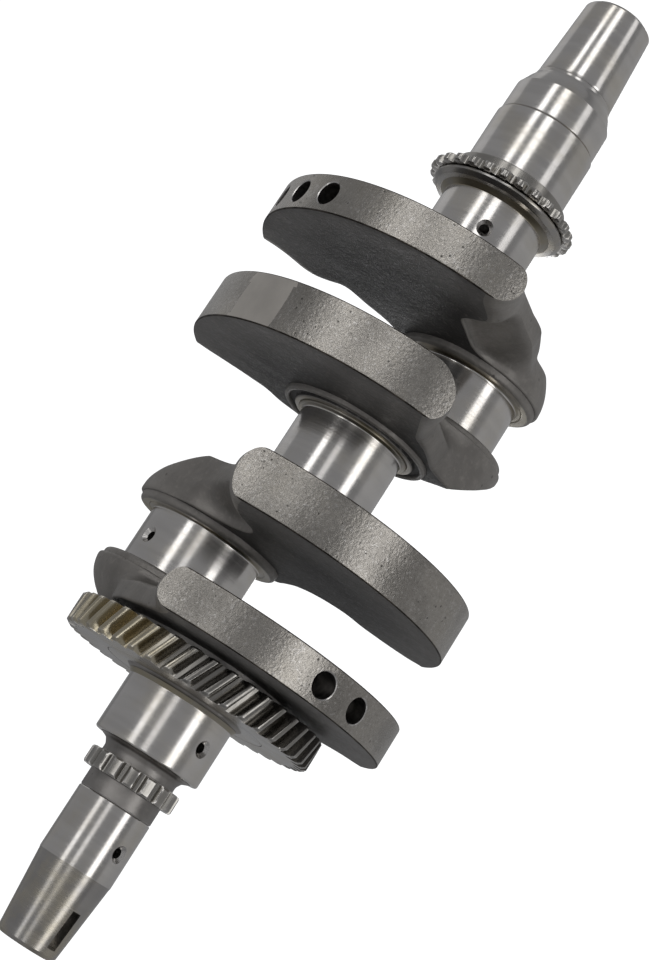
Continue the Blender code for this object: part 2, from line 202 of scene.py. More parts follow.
def mix_colour(tree, share, first, second, blend="MIX"):
    """Mix two colours, each a socket, a number or three of them; returns the colour output."""
    node = tree.nodes.new("ShaderNodeMix")
    node.data_type = "RGBA"
    node.blend_type = blend
    for index, value in zip(MIX_COLOUR_INPUTS, (share, first, second)):
        socket = node.inputs[index]
        if isinstance(value, bpy.types.NodeSocket):
            tree.links.new(value, socket)
        elif isinstance(value, (int, float)):
            socket.default_value = value
        else:
            socket.default_value = (*value, 1.0)
    return node.outputs[MIX_COLOUR_OUTPUT]


def scaled(tree, vector, scale):
    """Stretch coordinates, so that a pattern on them is drawn out or flattened."""
    node = tree.nodes.new("ShaderNodeMapping")
    node.inputs["Scale"].default_value = scale
    tree.links.new(vector, node.inputs["Vector"])
    return node.outputs["Vector"]


def noise_value(tree, vector, scale, detail=3.0, rough=0.55):
    """A Noise texture's value; scale is a socket or a number per metre."""
    node = tree.nodes.new("ShaderNodeTexNoise")
    node.inputs["Detail"].default_value = detail
    node.inputs["Roughness"].default_value = rough
    tree.links.new(vector, node.inputs["Vector"])
    if isinstance(scale, bpy.types.NodeSocket):
        tree.links.new(scale, node.inputs["Scale"])
    else:
        node.inputs["Scale"].default_value = scale
    return node.outputs["Fac"]


VECTOR = "NodeSocketVector"
VALUE = "NodeSocketFloat"


def build_lathe_lines():
    """Fine lines round the X axis, as a grinding wheel or a lathe tool leaves them."""
    tree, source, sink = new_group("Lathe lines", [("Coordinates", VECTOR, None), ("Lines", VALUE, 900.0)],
                                   [("Height", VALUE), ("Band", VALUE)])
    coordinates = source.outputs["Coordinates"]
    lines = noise_value(tree, scaled(tree, coordinates, (1.0, 0.02, 0.02)), source.outputs["Lines"], 4.0, 0.7)
    band = noise_value(tree, scaled(tree, coordinates, (1.0, 0.10, 0.10)), 160.0, 2.0)
    tree.links.new(lines, sink.inputs["Height"])
    tree.links.new(band, sink.inputs["Band"])
    return tree


def build_pits():
    """Scattered round pits; Amount is the share of cells that hold one."""
    tree, source, sink = new_group(
        "Pits", [("Coordinates", VECTOR, None), ("Scale", VALUE, 400.0), ("Amount", VALUE, 0.15)],
        [("Mask", VALUE)])
    cells = tree.nodes.new("ShaderNodeTexVoronoi")
    tree.links.new(source.outputs["Coordinates"], cells.inputs["Vector"])
    tree.links.new(source.outputs["Scale"], cells.inputs["Scale"])
    split = tree.nodes.new("ShaderNodeSeparateColor")
    tree.links.new(cells.outputs["Color"], split.inputs["Color"])
    patchy = noise_value(tree, source.outputs["Coordinates"], 60.0, 2.0)
    crowd = ramp_node(tree, patchy, 0.38, 0.66, 0.25, 1.9)
    share = math_node(tree, "MULTIPLY", source.outputs["Amount"], crowd)
    chosen = math_node(tree, "LESS_THAN", split.outputs["Red"], share)
    size = math_node(tree, "MULTIPLY_ADD", split.outputs["Green"], 0.30, 0.12)
    dot = math_node(tree, "SUBTRACT", 1.0, ramp_node(tree, cells.outputs["Distance"], 0.04, size))
    mask = math_node(tree, "MULTIPLY", dot, chosen, clamp=True)
    tree.links.new(mask, sink.inputs["Mask"])
    return tree


def build_grain():
    """Broad stains and a fine grain."""
    tree, source, sink = new_group(
        "Steel grain",
        [("Coordinates", VECTOR, None), ("Broad scale", VALUE, 40.0), ("Fine scale", VALUE, 1500.0)],
        [("Broad", VALUE), ("Fine", VALUE)])
    broad = noise_value(tree, source.outputs["Coordinates"], source.outputs["Broad scale"], 5.0, 0.6)
    fine = noise_value(tree, source.outputs["Coordinates"], source.outputs["Fine scale"], 3.0, 0.65)
    tree.links.new(broad, sink.inputs["Broad"])
    tree.links.new(fine, sink.inputs["Fine"])
    return tree


def build_wisps():
    """A few thin bright wisps where the surface has been rubbed."""
    tree, source, sink = new_group(
        "Wisps", [("Coordinates", VECTOR, None), ("Scale", VALUE, 90.0), ("Width", VALUE, 0.02)],
        [("Mask", VALUE)])
    wander = noise_value(tree, source.outputs["Coordinates"], source.outputs["Scale"], 6.0, 0.6)
    middle_line = math_node(tree, "ABSOLUTE", math_node(tree, "SUBTRACT", wander, 0.5))
    line = math_node(tree, "SUBTRACT", 1.0, ramp_node(tree, middle_line, 0.0, source.outputs["Width"]))
    patch = noise_value(tree, source.outputs["Coordinates"], 48.0, 2.0)
    mask = math_node(tree, "MULTIPLY", line, ramp_node(tree, patch, 0.60, 0.68), clamp=True)
    tree.links.new(mask, sink.inputs["Mask"])
    return tree


def build_edge_wear():
    """Bright worn edges where the surface turns sharply, broken up by a noise."""
    tree, source, sink = new_group(
        "Edge wear",
        [("Pointiness", VALUE, 0.5), ("Breakup", VALUE, 0.5), ("Start", VALUE, 0.51), ("End", VALUE, 0.6)],
        [("Mask", VALUE)])
    edge = ramp_node(tree, source.outputs["Pointiness"], source.outputs["Start"], source.outputs["End"])
    broken = ramp_node(tree, source.outputs["Breakup"], 0.35, 0.6, 0.35, 1.0)
    tree.links.new(math_node(tree, "MULTIPLY", edge, broken, clamp=True), sink.inputs["Mask"])
    return tree


GROUP_MAKERS = {"Lathe lines": build_lathe_lines, "Pits": build_pits, "Steel grain": build_grain,
                "Wisps": build_wisps, "Edge wear": build_edge_wear}


def place_group(tree, name, **values):
    """Put a shared group in a material; values are numbers or sockets for its inputs."""
    node = tree.nodes.new("ShaderNodeGroup")
    node.node_tree = bpy.data.node_groups.get(name) or GROUP_MAKERS[name]()
    for key, value in values.items():
        socket = node.inputs[key.replace("_", " ")]
        if isinstance(value, bpy.types.NodeSocket):
            tree.links.new(value, socket)
        else:
            socket.default_value = value
    return node


# ---------------------------------------------------------------- materials
OIL_BLACK = (0.02, 0.018, 0.016)


def paint(name, factor=1.0):
    """One of the panel's colours, made lighter or darker."""
    return tuple(factor * value for value in getattr(colours(), name))


class Finish:
    """A material with its Principled shader, its object coordinates and a chain of bumps."""

    def __init__(self, name, metallic=1.0):
        self.material = bpy.data.materials.new(name)
        self.material.use_nodes = True
        self.tree = self.material.node_tree
        self.shader = self.tree.nodes["Principled BSDF"]
        self.shader.inputs["Metallic"].default_value = metallic
        self.coordinates = self.tree.nodes.new("ShaderNodeTexCoord").outputs["Object"]
        self.geometry = self.tree.nodes.new("ShaderNodeNewGeometry")
        self.normal = None

    def group(self, name, **values):
        """Place a shared group on the object's coordinates; returns its outputs."""
        return place_group(self.tree, name, Coordinates=self.coordinates, **values).outputs

    def grain(self, broad, fine):
        """Broad and fine grain at these scales per metre."""
        outputs = self.group("Steel grain", Broad_scale=broad, Fine_scale=fine)
        return outputs["Broad"], outputs["Fine"]

    def ramp(self, field, *limits):
        return ramp_node(self.tree, field, *limits)

    def toned(self, colour, field, *limits):
        """Darken and lighten a colour by a field's ramp: its low and high, then the two tones."""
        return mix_colour(self.tree, 1.0, colour, self.ramp(field, *limits), "MULTIPLY")

    def over(self, colour, mask, share, other):
        """Lay another colour over one where the mask says, at a share of full strength."""
        return mix_colour(self.tree, math_node(self.tree, "MULTIPLY", mask, share), colour, other)

    def worn(self, colour, breakup, start, end, share, bright):
        """Brighten the edges sharper than start, fully at end, broken up by a field."""
        mask = place_group(self.tree, "Edge wear", Pointiness=self.geometry.outputs["Pointiness"],
                           Breakup=breakup, Start=start, End=end).outputs["Mask"]
        return self.over(colour, mask, share, bright)

    def bump(self, height, depth, strength, invert=False):
        """Raise the surface by a field, depth in millimetres."""
        node = self.tree.nodes.new("ShaderNodeBump")
        node.inputs["Strength"].default_value = strength
        node.inputs["Distance"].default_value = depth * MM
        node.invert = invert
        self.tree.links.new(height, node.inputs["Height"])
        if self.normal is not None:
            self.tree.links.new(self.normal, node.inputs["Normal"])
        self.normal = node.outputs["Normal"]
        self.tree.links.new(self.normal, self.shader.inputs["Normal"])

    def done(self, colour, roughness=None):
        """Connect the colour and the roughness, and hand over the material."""
        self.tree.links.new(colour, self.shader.inputs["Base Color"])
        if roughness is not None:
            self.tree.links.new(roughness, self.shader.inputs["Roughness"])
        return self.material


def once(maker):
    """Let every piece share the one material that a maker builds."""
    made = []

    def wrapped():
        if not made:
            made.append(maker(maker.__name__))
        return made[0]
    return wrapped


def ground_to(name, base, stained, rough):
    """Ground steel: fine lines round the axis over faint cloudy stains."""
    finish = Finish(name)
    lines = finish.group("Lathe lines", Lines=1400.0)
    stain = finish.ramp(finish.grain(55.0, 900.0)[0], 0.42, 0.70)
    colour = finish.over(base, stain, stained, paint("warm"))
    colour = finish.toned(colour, lines["Band"], 0.32, 0.68, 0.93, 1.03)
    finish.bump(lines["Height"], 0.02, 0.45)
    streak = finish.ramp(lines["Height"], 0.3, 0.7, rough - 0.03, rough + 0.05)
    cloud = math_node(finish.tree, "MULTIPLY", stain, 0.06)
    return finish.done(colour, math_node(finish.tree, "ADD", streak, cloud))


@once
def ground_finish(name):
    """Bright ground journals."""
    return ground_to(name, paint("ground"), 0.25, 0.15)


@once
def dull_ground(name):
    """Ground but handled and a little dull, as on the flywheel's taper and the gear's faces."""
    return ground_to(name, paint("ground", 0.62), 0.45, 0.21)


@once
def warm_fillet(name):
    """Fillets and undercuts under a golden film."""
    finish = Finish(name)
    lines = finish.group("Lathe lines", Lines=1100.0)["Height"]
    film = finish.ramp(finish.grain(70.0, 900.0)[0], 0.35, 0.65, 0.25, 0.85)
    finish.bump(lines, 0.03, 0.4)
    return finish.done(mix_colour(finish.tree, film, paint("ground", 0.5), paint("warm", 0.6)),
                       finish.ramp(lines, 0.3, 0.7, 0.28, 0.40))


@once
def turned_finish(name):
    """Duller lathe-turned lengths and collars."""
    finish = Finish(name)
    broad, fine = finish.grain(80.0, 1200.0)
    pits = finish.group("Pits", Scale=700.0, Amount=0.10)["Mask"]
    colour = finish.toned(paint("turned"), broad, 0.3, 0.7, 0.75, 1.15)
    colour = finish.worn(colour, broad, 0.505, 0.56, 0.5, paint("ground"))
    colour = finish.over(colour, pits, 0.6, (0.04, 0.038, 0.035))
    finish.bump(finish.group("Lathe lines", Lines=700.0)["Height"], 0.04, 0.5)
    finish.bump(fine, 0.03, 0.3)
    return finish.done(colour, finish.ramp(broad, 0.3, 0.7, 0.34, 0.46))


@once
def rim_steel(name):
    """Machined rims with a satin sparkle, black pits and a few bright wisps."""
    finish = Finish(name)
    broad = finish.grain(45.0, 1300.0)[0]
    speck, fine = finish.grain(820.0, 2600.0)
    pits = finish.group("Pits", Scale=560.0, Amount=0.20)["Mask"]
    wisps = finish.group("Wisps", Scale=70.0, Width=0.012)["Mask"]
    colour = finish.toned(paint("rim"), broad, 0.30, 0.70, 0.82, 1.16)
    colour = finish.over(colour, finish.ramp(broad, 0.50, 0.72), 0.30, (0.27, 0.245, 0.20))
    colour = finish.over(colour, finish.ramp(speck, 0.54, 0.72), 0.60, paint("ground"))
    colour = finish.over(colour, finish.ramp(speck, 0.46, 0.30), 0.28, (0.12, 0.112, 0.10))
    colour = finish.over(colour, wisps, 0.55, paint("ground"))
    colour = finish.over(colour, pits, 0.85, OIL_BLACK)
    finish.bump(speck, 0.26, 0.6)
    finish.bump(fine, 0.05, 0.5)
    finish.bump(pits, 0.15, 0.6, invert=True)
    return finish.done(colour, finish.ramp(fine, 0.3, 0.7, 0.20, 0.34))


def forged_to(name, base, gloss, rough, shading):
    """Shot-blasted forging: fine grain, pits, worn edges and painted shade that darkens the middle by the
    shaft, where the neighbouring webs and pins shade it.
    shading gives the painted shade's tone near the shaft's axis and the tone far from it."""
    finish = Finish(name, metallic=gloss)
    finish.shader.inputs["Specular IOR Level"].default_value = 0.35
    broad, fine = finish.grain(75.0, 1700.0)
    coarse = finish.grain(420.0, 900.0)[0]
    pits = finish.group("Pits", Scale=330.0, Amount=0.12)["Mask"]
    away = finish.tree.nodes.new("ShaderNodeVectorMath")
    away.operation = "LENGTH"
    finish.tree.links.new(scaled(finish.tree, finish.coordinates, (0.0, 1.0, 1.0)), away.inputs[0])
    colour = finish.toned(base, broad, 0.28, 0.72, 0.86, 1.14)
    # painted shade: darker near the shaft's axis, where neighbouring webs and pins shade the faces
    colour = finish.toned(colour, away.outputs["Value"], 34 * MM, 70 * MM, *shading)
    colour = finish.over(colour, finish.ramp(coarse, 0.50, 0.70), 0.32, paint("rim"))
    colour = finish.worn(colour, broad, 0.508, 0.58, 0.45, paint("rim"))
    colour = finish.over(colour, pits, 0.55, OIL_BLACK)
    finish.bump(coarse, 0.34, 0.6)
    finish.bump(fine, 0.05, 0.45)
    finish.bump(pits, 0.20, 0.6, invert=True)
    return finish.done(colour, finish.ramp(coarse, 0.3, 0.7, rough - 0.06, rough + 0.08))


@once
def forged_skin(name):
    """Grey skin on the flanks and noses."""
    return forged_to(name, paint("forged"), 0.55, 0.44, (0.92, 1.15))


@once
def painted_shade_web_face(name):
    """Darker skin on the webs' flat faces: a shaded copy of the flank skin, painted shade where the webs face
    each other.
    """
    return forged_to(name, paint("face"), 0.40, 0.50, (0.34, 1.35))


def cut_to(name, base, film_share):
    """Cut teeth: lines along the flanks, worn edges and a golden oil film on the upper side."""
    finish = Finish(name)
    broad = finish.grain(60.0, 1500.0)[0]
    marks = noise_value(finish.tree, scaled(finish.tree, finish.coordinates, (0.10, 1.0, 1.0)), 700.0, 2.0)
    split = finish.tree.nodes.new("ShaderNodeSeparateXYZ")
    finish.tree.links.new(finish.coordinates, split.inputs["Vector"])
    upper = finish.ramp(split.outputs["Z"], 38 * MM, 50 * MM)
    film = math_node(finish.tree, "MULTIPLY", upper, finish.ramp(broad, 0.2, 0.6, 0.4))
    colour = finish.over(base, film, film_share, paint("warm"))
    colour = finish.worn(colour, broad, 0.515, 0.58, 0.75, paint("ground", 1.1))
    finish.bump(marks, 0.010, 0.4)
    return finish.done(colour, finish.ramp(marks, 0.3, 0.7, 0.18, 0.28))


@once
def hobbed_finish(name):
    """Flanks of the helical gear."""
    return cut_to(name, paint("hobbed"), 0.75)


@once
def cut_finish(name):
    """Sprocket and chain ring."""
    return cut_to(name, paint("hobbed", 1.15), 0.15)


BROAD, FINE = 0, 1            # the two outputs of Finish.grain


def even_steel(name, base, scales, tones, relief, rough):
    """Steel with one grain. scales are its broad and fine scale, tones a ramp of the broad one,
    relief which of the two raises it, by how many millimetres and how strongly, and rough the
    least and most roughness."""
    finish = Finish(name)
    grain = finish.grain(*scales)
    finish.bump(grain[relief[0]], *relief[1:])
    return finish.done(finish.toned(base, grain[BROAD], *tones), finish.ramp(grain[FINE], 0.3, 0.7, *rough))


@once
def milled_patch(name):
    """The smooth lighter band milled across one rim."""
    return even_steel(name, paint("rim", 1.6), (60.0, 1600.0), (0.3, 0.7, 0.92, 1.08), (FINE, 0.02, 0.25),
                      (0.40, 0.48))


@once
def edge_shadow(name):
    """Painted shade: a dark line along a rim's edges, where the rounded edge reflects the dark surroundings.
    """
    return even_steel(name, (0.055, 0.048, 0.040), (180.0, 1200.0), (0.35, 0.65, 0.35, 1.6),
                      (FINE, 0.05, 0.5), (0.40, 0.55))


@once
def drilled_steel_and_wall_shade(name):
    """Inside of the drillings: turned bore, darkened with oil. The keyway's side walls take it as painted
    shade.
    """
    return even_steel(name, (0.26, 0.25, 0.24), (300.0, 1200.0), (0.3, 0.7, 0.6, 1.3), (BROAD, 0.08, 0.5),
                      (0.28, 0.42))


@once
def countersunk_steel(name):
    """Bright chamfer round the mouth of a drilling."""
    return even_steel(name, paint("ground"), (400.0, 2000.0), (0.3, 0.7, 0.85, 1.05), (BROAD, 0.03, 0.4),
                      (0.22, 0.32))


@once
def plug_finish(name):
    """Bright pressed plugs."""
    return even_steel(name, paint("plug"), (200.0, 1500.0), (0.3, 0.7, 0.8, 1.1), (FINE, 0.03, 0.4),
                      (0.26, 0.38))


# ---------------------------------------------------------------- mesh helpers
def rounded(corners):
    """Turn corners (x, radius, fillet) into a polyline with an arc at each fillet."""
    points = [Vector(corner[:2]) for corner in corners]
    path = []
    for index, corner in enumerate(corners):
        here = points[index]
        fillet = corner[2] if len(corner) > 2 else 0.0
        if not fillet or index in (0, len(corners) - 1):
            path.append(tuple(here))
            continue
        back = points[index - 1] - here
        ahead = points[index + 1] - here
        bend = back.angle(ahead)
        reach = fillet / math.tan(bend / 2)
        limit = 0.48 * min(back.length, ahead.length)
        if reach > limit:
            fillet *= limit / reach
            reach = limit
        start = here + back.normalized() * reach
        centre_way = (back.normalized() + ahead.normalized()).normalized()
        centre = here + centre_way * (fillet / math.sin(bend / 2))
        first = start - centre
        sweep = math.pi - bend
        if back.cross(ahead) > 0:
            sweep = -sweep
        count = max(2, math.ceil(abs(sweep) / math.radians(12)))
        for step in range(count + 1):
            spun = first.copy()
            spun.rotate(Matrix.Rotation(sweep * step / count, 2))
            path.append(tuple(centre + spun))
    return path


def finely(path, longest=2.5 * MM):
    """Split long straight stretches so that a drilling cuts only small faces."""
    result = [path[0]]
    for start, end in zip(path, path[1:]):
        parts = max(1, math.ceil(math.dist(start, end) / longest))
        for step in range(1, parts + 1):
            share = step / parts
            result.append((start[0] + (end[0] - start[0]) * share, start[1] + (end[1] - start[1]) * share))
    return result


def weld(mesh, distance):
    """Merge the vertices closer than a distance and point every face outward."""
    body = bmesh.new()
    body.from_mesh(mesh)
    bmesh.ops.remove_doubles(body, verts=body.verts, dist=distance)
    bmesh.ops.recalc_face_normals(body, faces=body.faces)
    body.to_mesh(mesh)
    body.free()


def plain_object(name, vertices, faces):
    """An object in the scene with a mesh of these vertices and faces."""
    mesh = bpy.data.meshes.new(name)
    mesh.from_pydata([tuple(vertex) for vertex in vertices], [], faces)
    item = bpy.data.objects.new(name, mesh)
    bpy.context.collection.objects.link(item)
    return item


def mesh_object(name, vertices, faces, materials, indices=None):
    """A welded object with these materials; indices holds the material of each face."""
    item = plain_object(name, vertices, faces)
    for material in materials:
        item.data.materials.append(material)
    if indices is not None:
        item.data.polygons.foreach_set("material_index", indices)
    weld(item.data, 0.0001 * MM)
    return item


def turned(name, path, material, steps=192, centre=(0.0, 0.0)):
    """Revolve a path of (x, radius) about a line parallel to X. A path that starts and ends on
    the line makes a solid; any other path closes on itself as a ring."""
    solid = path[0][1] == 0.0 and path[-1][1] == 0.0
    rows = path[1:-1] if solid else path
    vertices = []
    for x, radius in rows:
        for step in range(steps):
            angle = TURN * step / steps
            vertices.append((x, centre[0] + radius * math.sin(angle), centre[1] + radius * math.cos(angle)))
    faces = []
    count = len(rows)
    for row in range(count - 1 if solid else count):
        for step in range(steps):
            following = (step + 1) % steps
            near = row * steps
            far = (row + 1) % count * steps
            faces.append((near + step, near + following, far + following, far + step))
    if solid:
        for row, end in ((0, path[0]), (count - 1, path[-1])):
            pole = len(vertices)
            vertices.append((end[0], *centre))
            for step in range(steps):
                faces.append((row * steps + step, row * steps + (step + 1) % steps, pole))
    return mesh_object(name, vertices, faces, [material])


def turned_node(node, corners, material, steps=192, centre=(0.0, 0.0)):
    """Revolve a node's corners (x, radius, fillet), split finely enough to be drilled."""
    return turned(node + "_visual", finely(rounded(corners)), material, steps, centre)


def combine(item, tools):
    """Apply (tool, operation) Booleans to an item, keep each tool's material, drop the tools."""
    for tool, operation in tools:
        modifier = item.modifiers.new(tool.name, "BOOLEAN")
        modifier.operation = operation
        modifier.solver = "EXACT"
        modifier.object = tool
        modifier.material_mode = "TRANSFER"
    apply_modifiers(item)
    for tool, _ in tools:
        bpy.data.objects.remove(tool, do_unlink=True)
    return item


def apply_modifiers(item):
    """Keep the result of an item's modifiers as its mesh."""
    graph = bpy.context.evaluated_depsgraph_get()
    graph.update()
    result = bpy.data.meshes.new_from_object(item.evaluated_get(graph))
    old = item.data
    item.modifiers.clear()
    item.data = result
    bpy.data.meshes.remove(old)


def repaint(item, chosen, material):
    """Give a second finish to the faces that chosen picks."""
    item.data.materials.append(material)
    for face in item.data.polygons:
        if chosen(face):
            face.material_index = len(item.data.materials) - 1


def off_axis(face, centre=(0.0, 0.0)):
    """Distance of a face's middle from a line parallel to X."""
    return math.hypot(face.center.y - centre[0], face.center.z - centre[1])


def tint_fillets(item, radius, centre=(0.0, 0.0)):
    """Paint what stands above a ground journal with the golden film of its fillets."""
    repaint(item, lambda face: off_axis(face, centre) > radius + 0.15 * MM, warm_fillet())


def shade(item, degrees=28):
    """Smooth shading, sharp where faces turn by more than some degrees."""
    item.data.shade_smooth()
    item.data.set_sharp_from_angle(angle=math.radians(degrees))


def settle(item, slot, *nodes):
    """Finish a piece: shading, the body it rides on and the nodes it stands for. slot is not used."""
    shade(item)
    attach(item, BODY)
    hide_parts(*nodes)
    return item


def about_x(item, quarter_turns):
    """Turn a piece about the shaft's axis."""
    item.data.transform(Matrix.Rotation(quarter_turns * math.pi / 2, 4, "X"))


def drill(name, x, degrees, surface, depth, bore, mouth, centre=(0.0, 0.0)):
    """Tool for a hole square to a turned surface: a bore with a drill point and a countersunk
    mouth. degrees run from +Z towards +Y."""
    angle = math.radians(degrees)
    direction = Vector((0.0, math.sin(angle), math.cos(angle)))
    place = Matrix.Translation((x, *centre)) @ direction.to_track_quat("X", "Z").to_matrix().to_4x4()
    tip = surface - depth
    flare = mouth - bore
    path = [(tip, 0.0), (tip + bore * 0.55, bore), (surface - flare, bore),
            (surface + flare, mouth + flare), (surface + flare, 0.0)]
    tool = turned(name + "_drill", path, drilled_steel_and_wall_shade(), 48)
    tool.data.materials.append(countersunk_steel())
    for face in tool.data.polygons:
        if face.center.x > surface - flare:
            face.material_index = 1
    tool.data.transform(place)
    return [(tool, "DIFFERENCE")]


OIL_HOLE_DEPTH = 12 * MM


def drill_oil_hole(item, x, degrees, surface, centre=(0.0, 0.0)):
    """Drill a countersunk oil hole into a journal or a pin."""
    combine(item, drill(item.name, x, degrees, surface, OIL_HOLE_DEPTH,
                        sizes().oil_hole, sizes().countersink, centre))


# ---------------------------------------------------------------- webs
RIM_STEPS = 56
LOWER_STEPS = 110
LAYERS = 22
CAP_SPACING = 2.4 * MM
THICKEST = 0.42             # share of the thickness, from the main face, where a web is widest
MAIN_COLLAR_HEIGHT = 2.4 * MM
BALANCE_HOLE_DEPTH = 19 * MM
SKIN, RIM, PATCH, FACE, SHADOW = range(5)        # places of a web's finishes

# The corner below the rim, as (across, up) from the rim's end.
CORNER = ((-1.5, -1.9), (-5.6, -6.6))

# Flanks below that corner down to the nose, as (across, up) at the face on the main
# journal's side, at mid thickness and at the pin's face, where the forging is hollowed out.
INNER_FLANK = (
    ((49.6, 22.0), (42.6, 13.5), (41.4, 9.0), (40.6, 4.0), (36.8, -4.0), (31.9, -13.5), (31.0, -21.5)),
    ((51.8, 18.8), (44.6, 10.4), (43.0, 5.6), (41.0, 0.6), (37.4, -6.5), (33.2, -15.0), (32.0, -22.0)),
    ((50.6, 21.4), (42.4, 17.0), (33.0, 15.2), (26.4, 8.0), (24.0, -3.0), (27.0, -13.0), (31.6, -22.5)),
)
OUTER_FLANK = (
    ((53.6, 20.4), (51.6, 13.6), (49.8, 8.0), (48.2, 2.0), (46.6, -7.0), (41.6, -15.6), (36.0, -24.0)),
    ((55.4, 18.0), (52.8, 12.0), (50.8, 6.6), (48.8, 0.6), (45.8, -8.4), (40.8, -16.8), (35.6, -25.0)),
    ((48.6, 20.6), (40.6, 17.6), (32.0, 16.8), (28.4, 8.0), (23.4, -4.6), (23.6, -13.4), (30.4, -24.4)),
)


class WebPlan:
    """One web: its faces, the flank and slope that it has, and the angles where its rim ends."""

    def __init__(self, name, side, quarter_turns, flank, rim_ends, slope, nose, draft,
                 holes=(), patch=None, plug=None):
        self.name = name
        self.start, self.end = WEB_FACES[name]
        self.pin_side = side                # sign of X of the face that carries the crankpin
        self.main = self.start if side > 0 else self.end
        self.pin = self.end if side > 0 else self.start
        self.quarter_turns = quarter_turns
        self.flank = flank                  # three outlines: main face, mid thickness, pin face
        self.rim_ends = rim_ends            # half angles at the same three places
        self.slope = slope                  # height where the nose is cut, at the main and the pin face
        self.nose = nose                    # angles where the flank meets the nose, at the three places
        self.draft = draft                  # how much smaller the nose is at the main face
        self.holes = holes
        self.patch = patch
        self.plug = plug

    def x(self, share):
        """X at a share of the thickness, from the main journal's face to the pin's face."""
        return self.main + (self.pin - self.main) * share


def web_faces():
    """The plain faces of the webs, without the collars that stand on them."""
    faces = {}
    for name, low_collar, high_collar in (("web_1", PIN_COLLAR_HEIGHT, MAIN_COLLAR_HEIGHT),
                                          ("web_2", MAIN_COLLAR_HEIGHT, PIN_COLLAR_HEIGHT),
                                          ("web_3", PIN_COLLAR_HEIGHT, MAIN_COLLAR_HEIGHT),
                                          ("web_4", 0.0, PIN_COLLAR_HEIGHT)):
        low, high = span(name)
        faces[name] = (low + low_collar, high - high_collar)
    return faces


WEB_FACES = web_faces()


def ease(value):
    """Smooth step from 0 to 1."""
    value = min(max(value, 0.0), 1.0)
    return value * value * (3 - 2 * value)


def bulge(value):
    """0 at mid thickness, 1 at a face, along a quarter ellipse."""
    value = min(max(value, 0.0), 1.0)
    return 1 - math.sqrt(1 - value * value)


def through(points, count):
    """Evenly numbered points on a smooth curve through the given ones."""
    padded = [2 * points[0] - points[1], *points, 2 * points[-1] - points[-2]]
    result = []
    last = len(points) - 1
    for step in range(count):
        place = last * step / (count - 1)
        index = min(int(place), last - 1)
        share = place - index
        before, start, end, after = padded[index:index + 4]
        result.append(0.5 * (2 * start + (end - before) * share
                             + (2 * before - 5 * start + 4 * end - after) * share ** 2
                             + (3 * start - before - 3 * end + after) * share ** 3))
    return result


def evenly(points, count):
    """The same polyline with count points at even distances."""
    points = np.array(points)
    along = np.concatenate(((0.0,), np.cumsum(np.linalg.norm(np.diff(points, axis=0), axis=1))))
    places = np.linspace(0.0, along[-1], count)
    return np.column_stack([np.interp(places, along, points[:, axis]) for axis in (0, 1)])


def softened(points, passes):
    """Round the corners of an even polyline, its ends held."""
    for _ in range(passes):
        points[1:-1] = 0.25 * points[:-2] + 0.5 * points[1:-1] + 0.25 * points[2:]
    return points


def half_outline(plan, share):
    """Right half of a web's outline at a share of its thickness, from the top to the bottom."""
    if share < THICKEST:
        face = 0
        corner = bulge((THICKEST - share) / THICKEST)
        hollow = corner
    else:
        face = 2
        faceward = (share - THICKEST) / (1 - THICKEST)
        corner = bulge(faceward)
        hollow = ease(faceward / 0.85)

    def blended(values, weight):
        return values[1] + (values[face] - values[1]) * weight

    rim_end = math.radians(blended(plan.rim_ends, corner))
    rim = []
    for step in range(RIM_STEPS + 1):
        angle = rim_end * step / RIM_STEPS
        rim.append(np.array((math.sin(angle), math.cos(angle))) * RIM_RADIUS)
    controls = [rim[-1]] + [rim[-1] + np.array(offset) * MM for offset in CORNER]
    for index, places in enumerate(zip(*plan.flank)):
        controls.append(blended([np.array(place) * MM for place in places], hollow if index else corner))
    height = (plan.slope[0] + (plan.slope[1] - plan.slope[0]) * share) * MM
    radius = NOSE_RADIUS - plan.draft * MM * (1 - share) ** 2
    first = math.radians(blended(plan.nose, hollow))
    last = math.acos(max(-0.22, min(0.999, (-THROW - height) / radius)))
    arc = [np.array((radius * math.sin(angle), -THROW - radius * math.cos(angle)))
           for angle in np.linspace(first, min(last, first - 0.02), 24)]
    lower = through(controls + [arc[0]], 90) + arc[1:] + [np.array((0.0, arc[-1][1]))]
    lower = softened(evenly(lower, LOWER_STEPS + 1), 7)
    return np.vstack((rim, lower[1:]))


def outline(plan, share, inset):
    """Whole outline, pulled in by the edge radii near the faces."""
    half = half_outline(plan, share)
    mirrored = half[-2:0:-1] * np.array((-1.0, 1.0))
    loop = np.vstack((half, mirrored))
    along = np.roll(loop, -1, axis=0) - np.roll(loop, 1, axis=0)
    along /= np.maximum(np.linalg.norm(along, axis=1), 1e-9)[:, None]
    inward = np.column_stack((along[:, 1], -along[:, 0]))
    on_rim = np.zeros(len(loop))
    on_rim[:RIM_STEPS] = 1.0
    on_rim[-RIM_STEPS + 1:] = 1.0
    depth = np.where(on_rim > 0, rounding(inset, sizes().rim_edge), rounding(inset, sizes().face_edge))
    return loop + inward * depth[:, None]


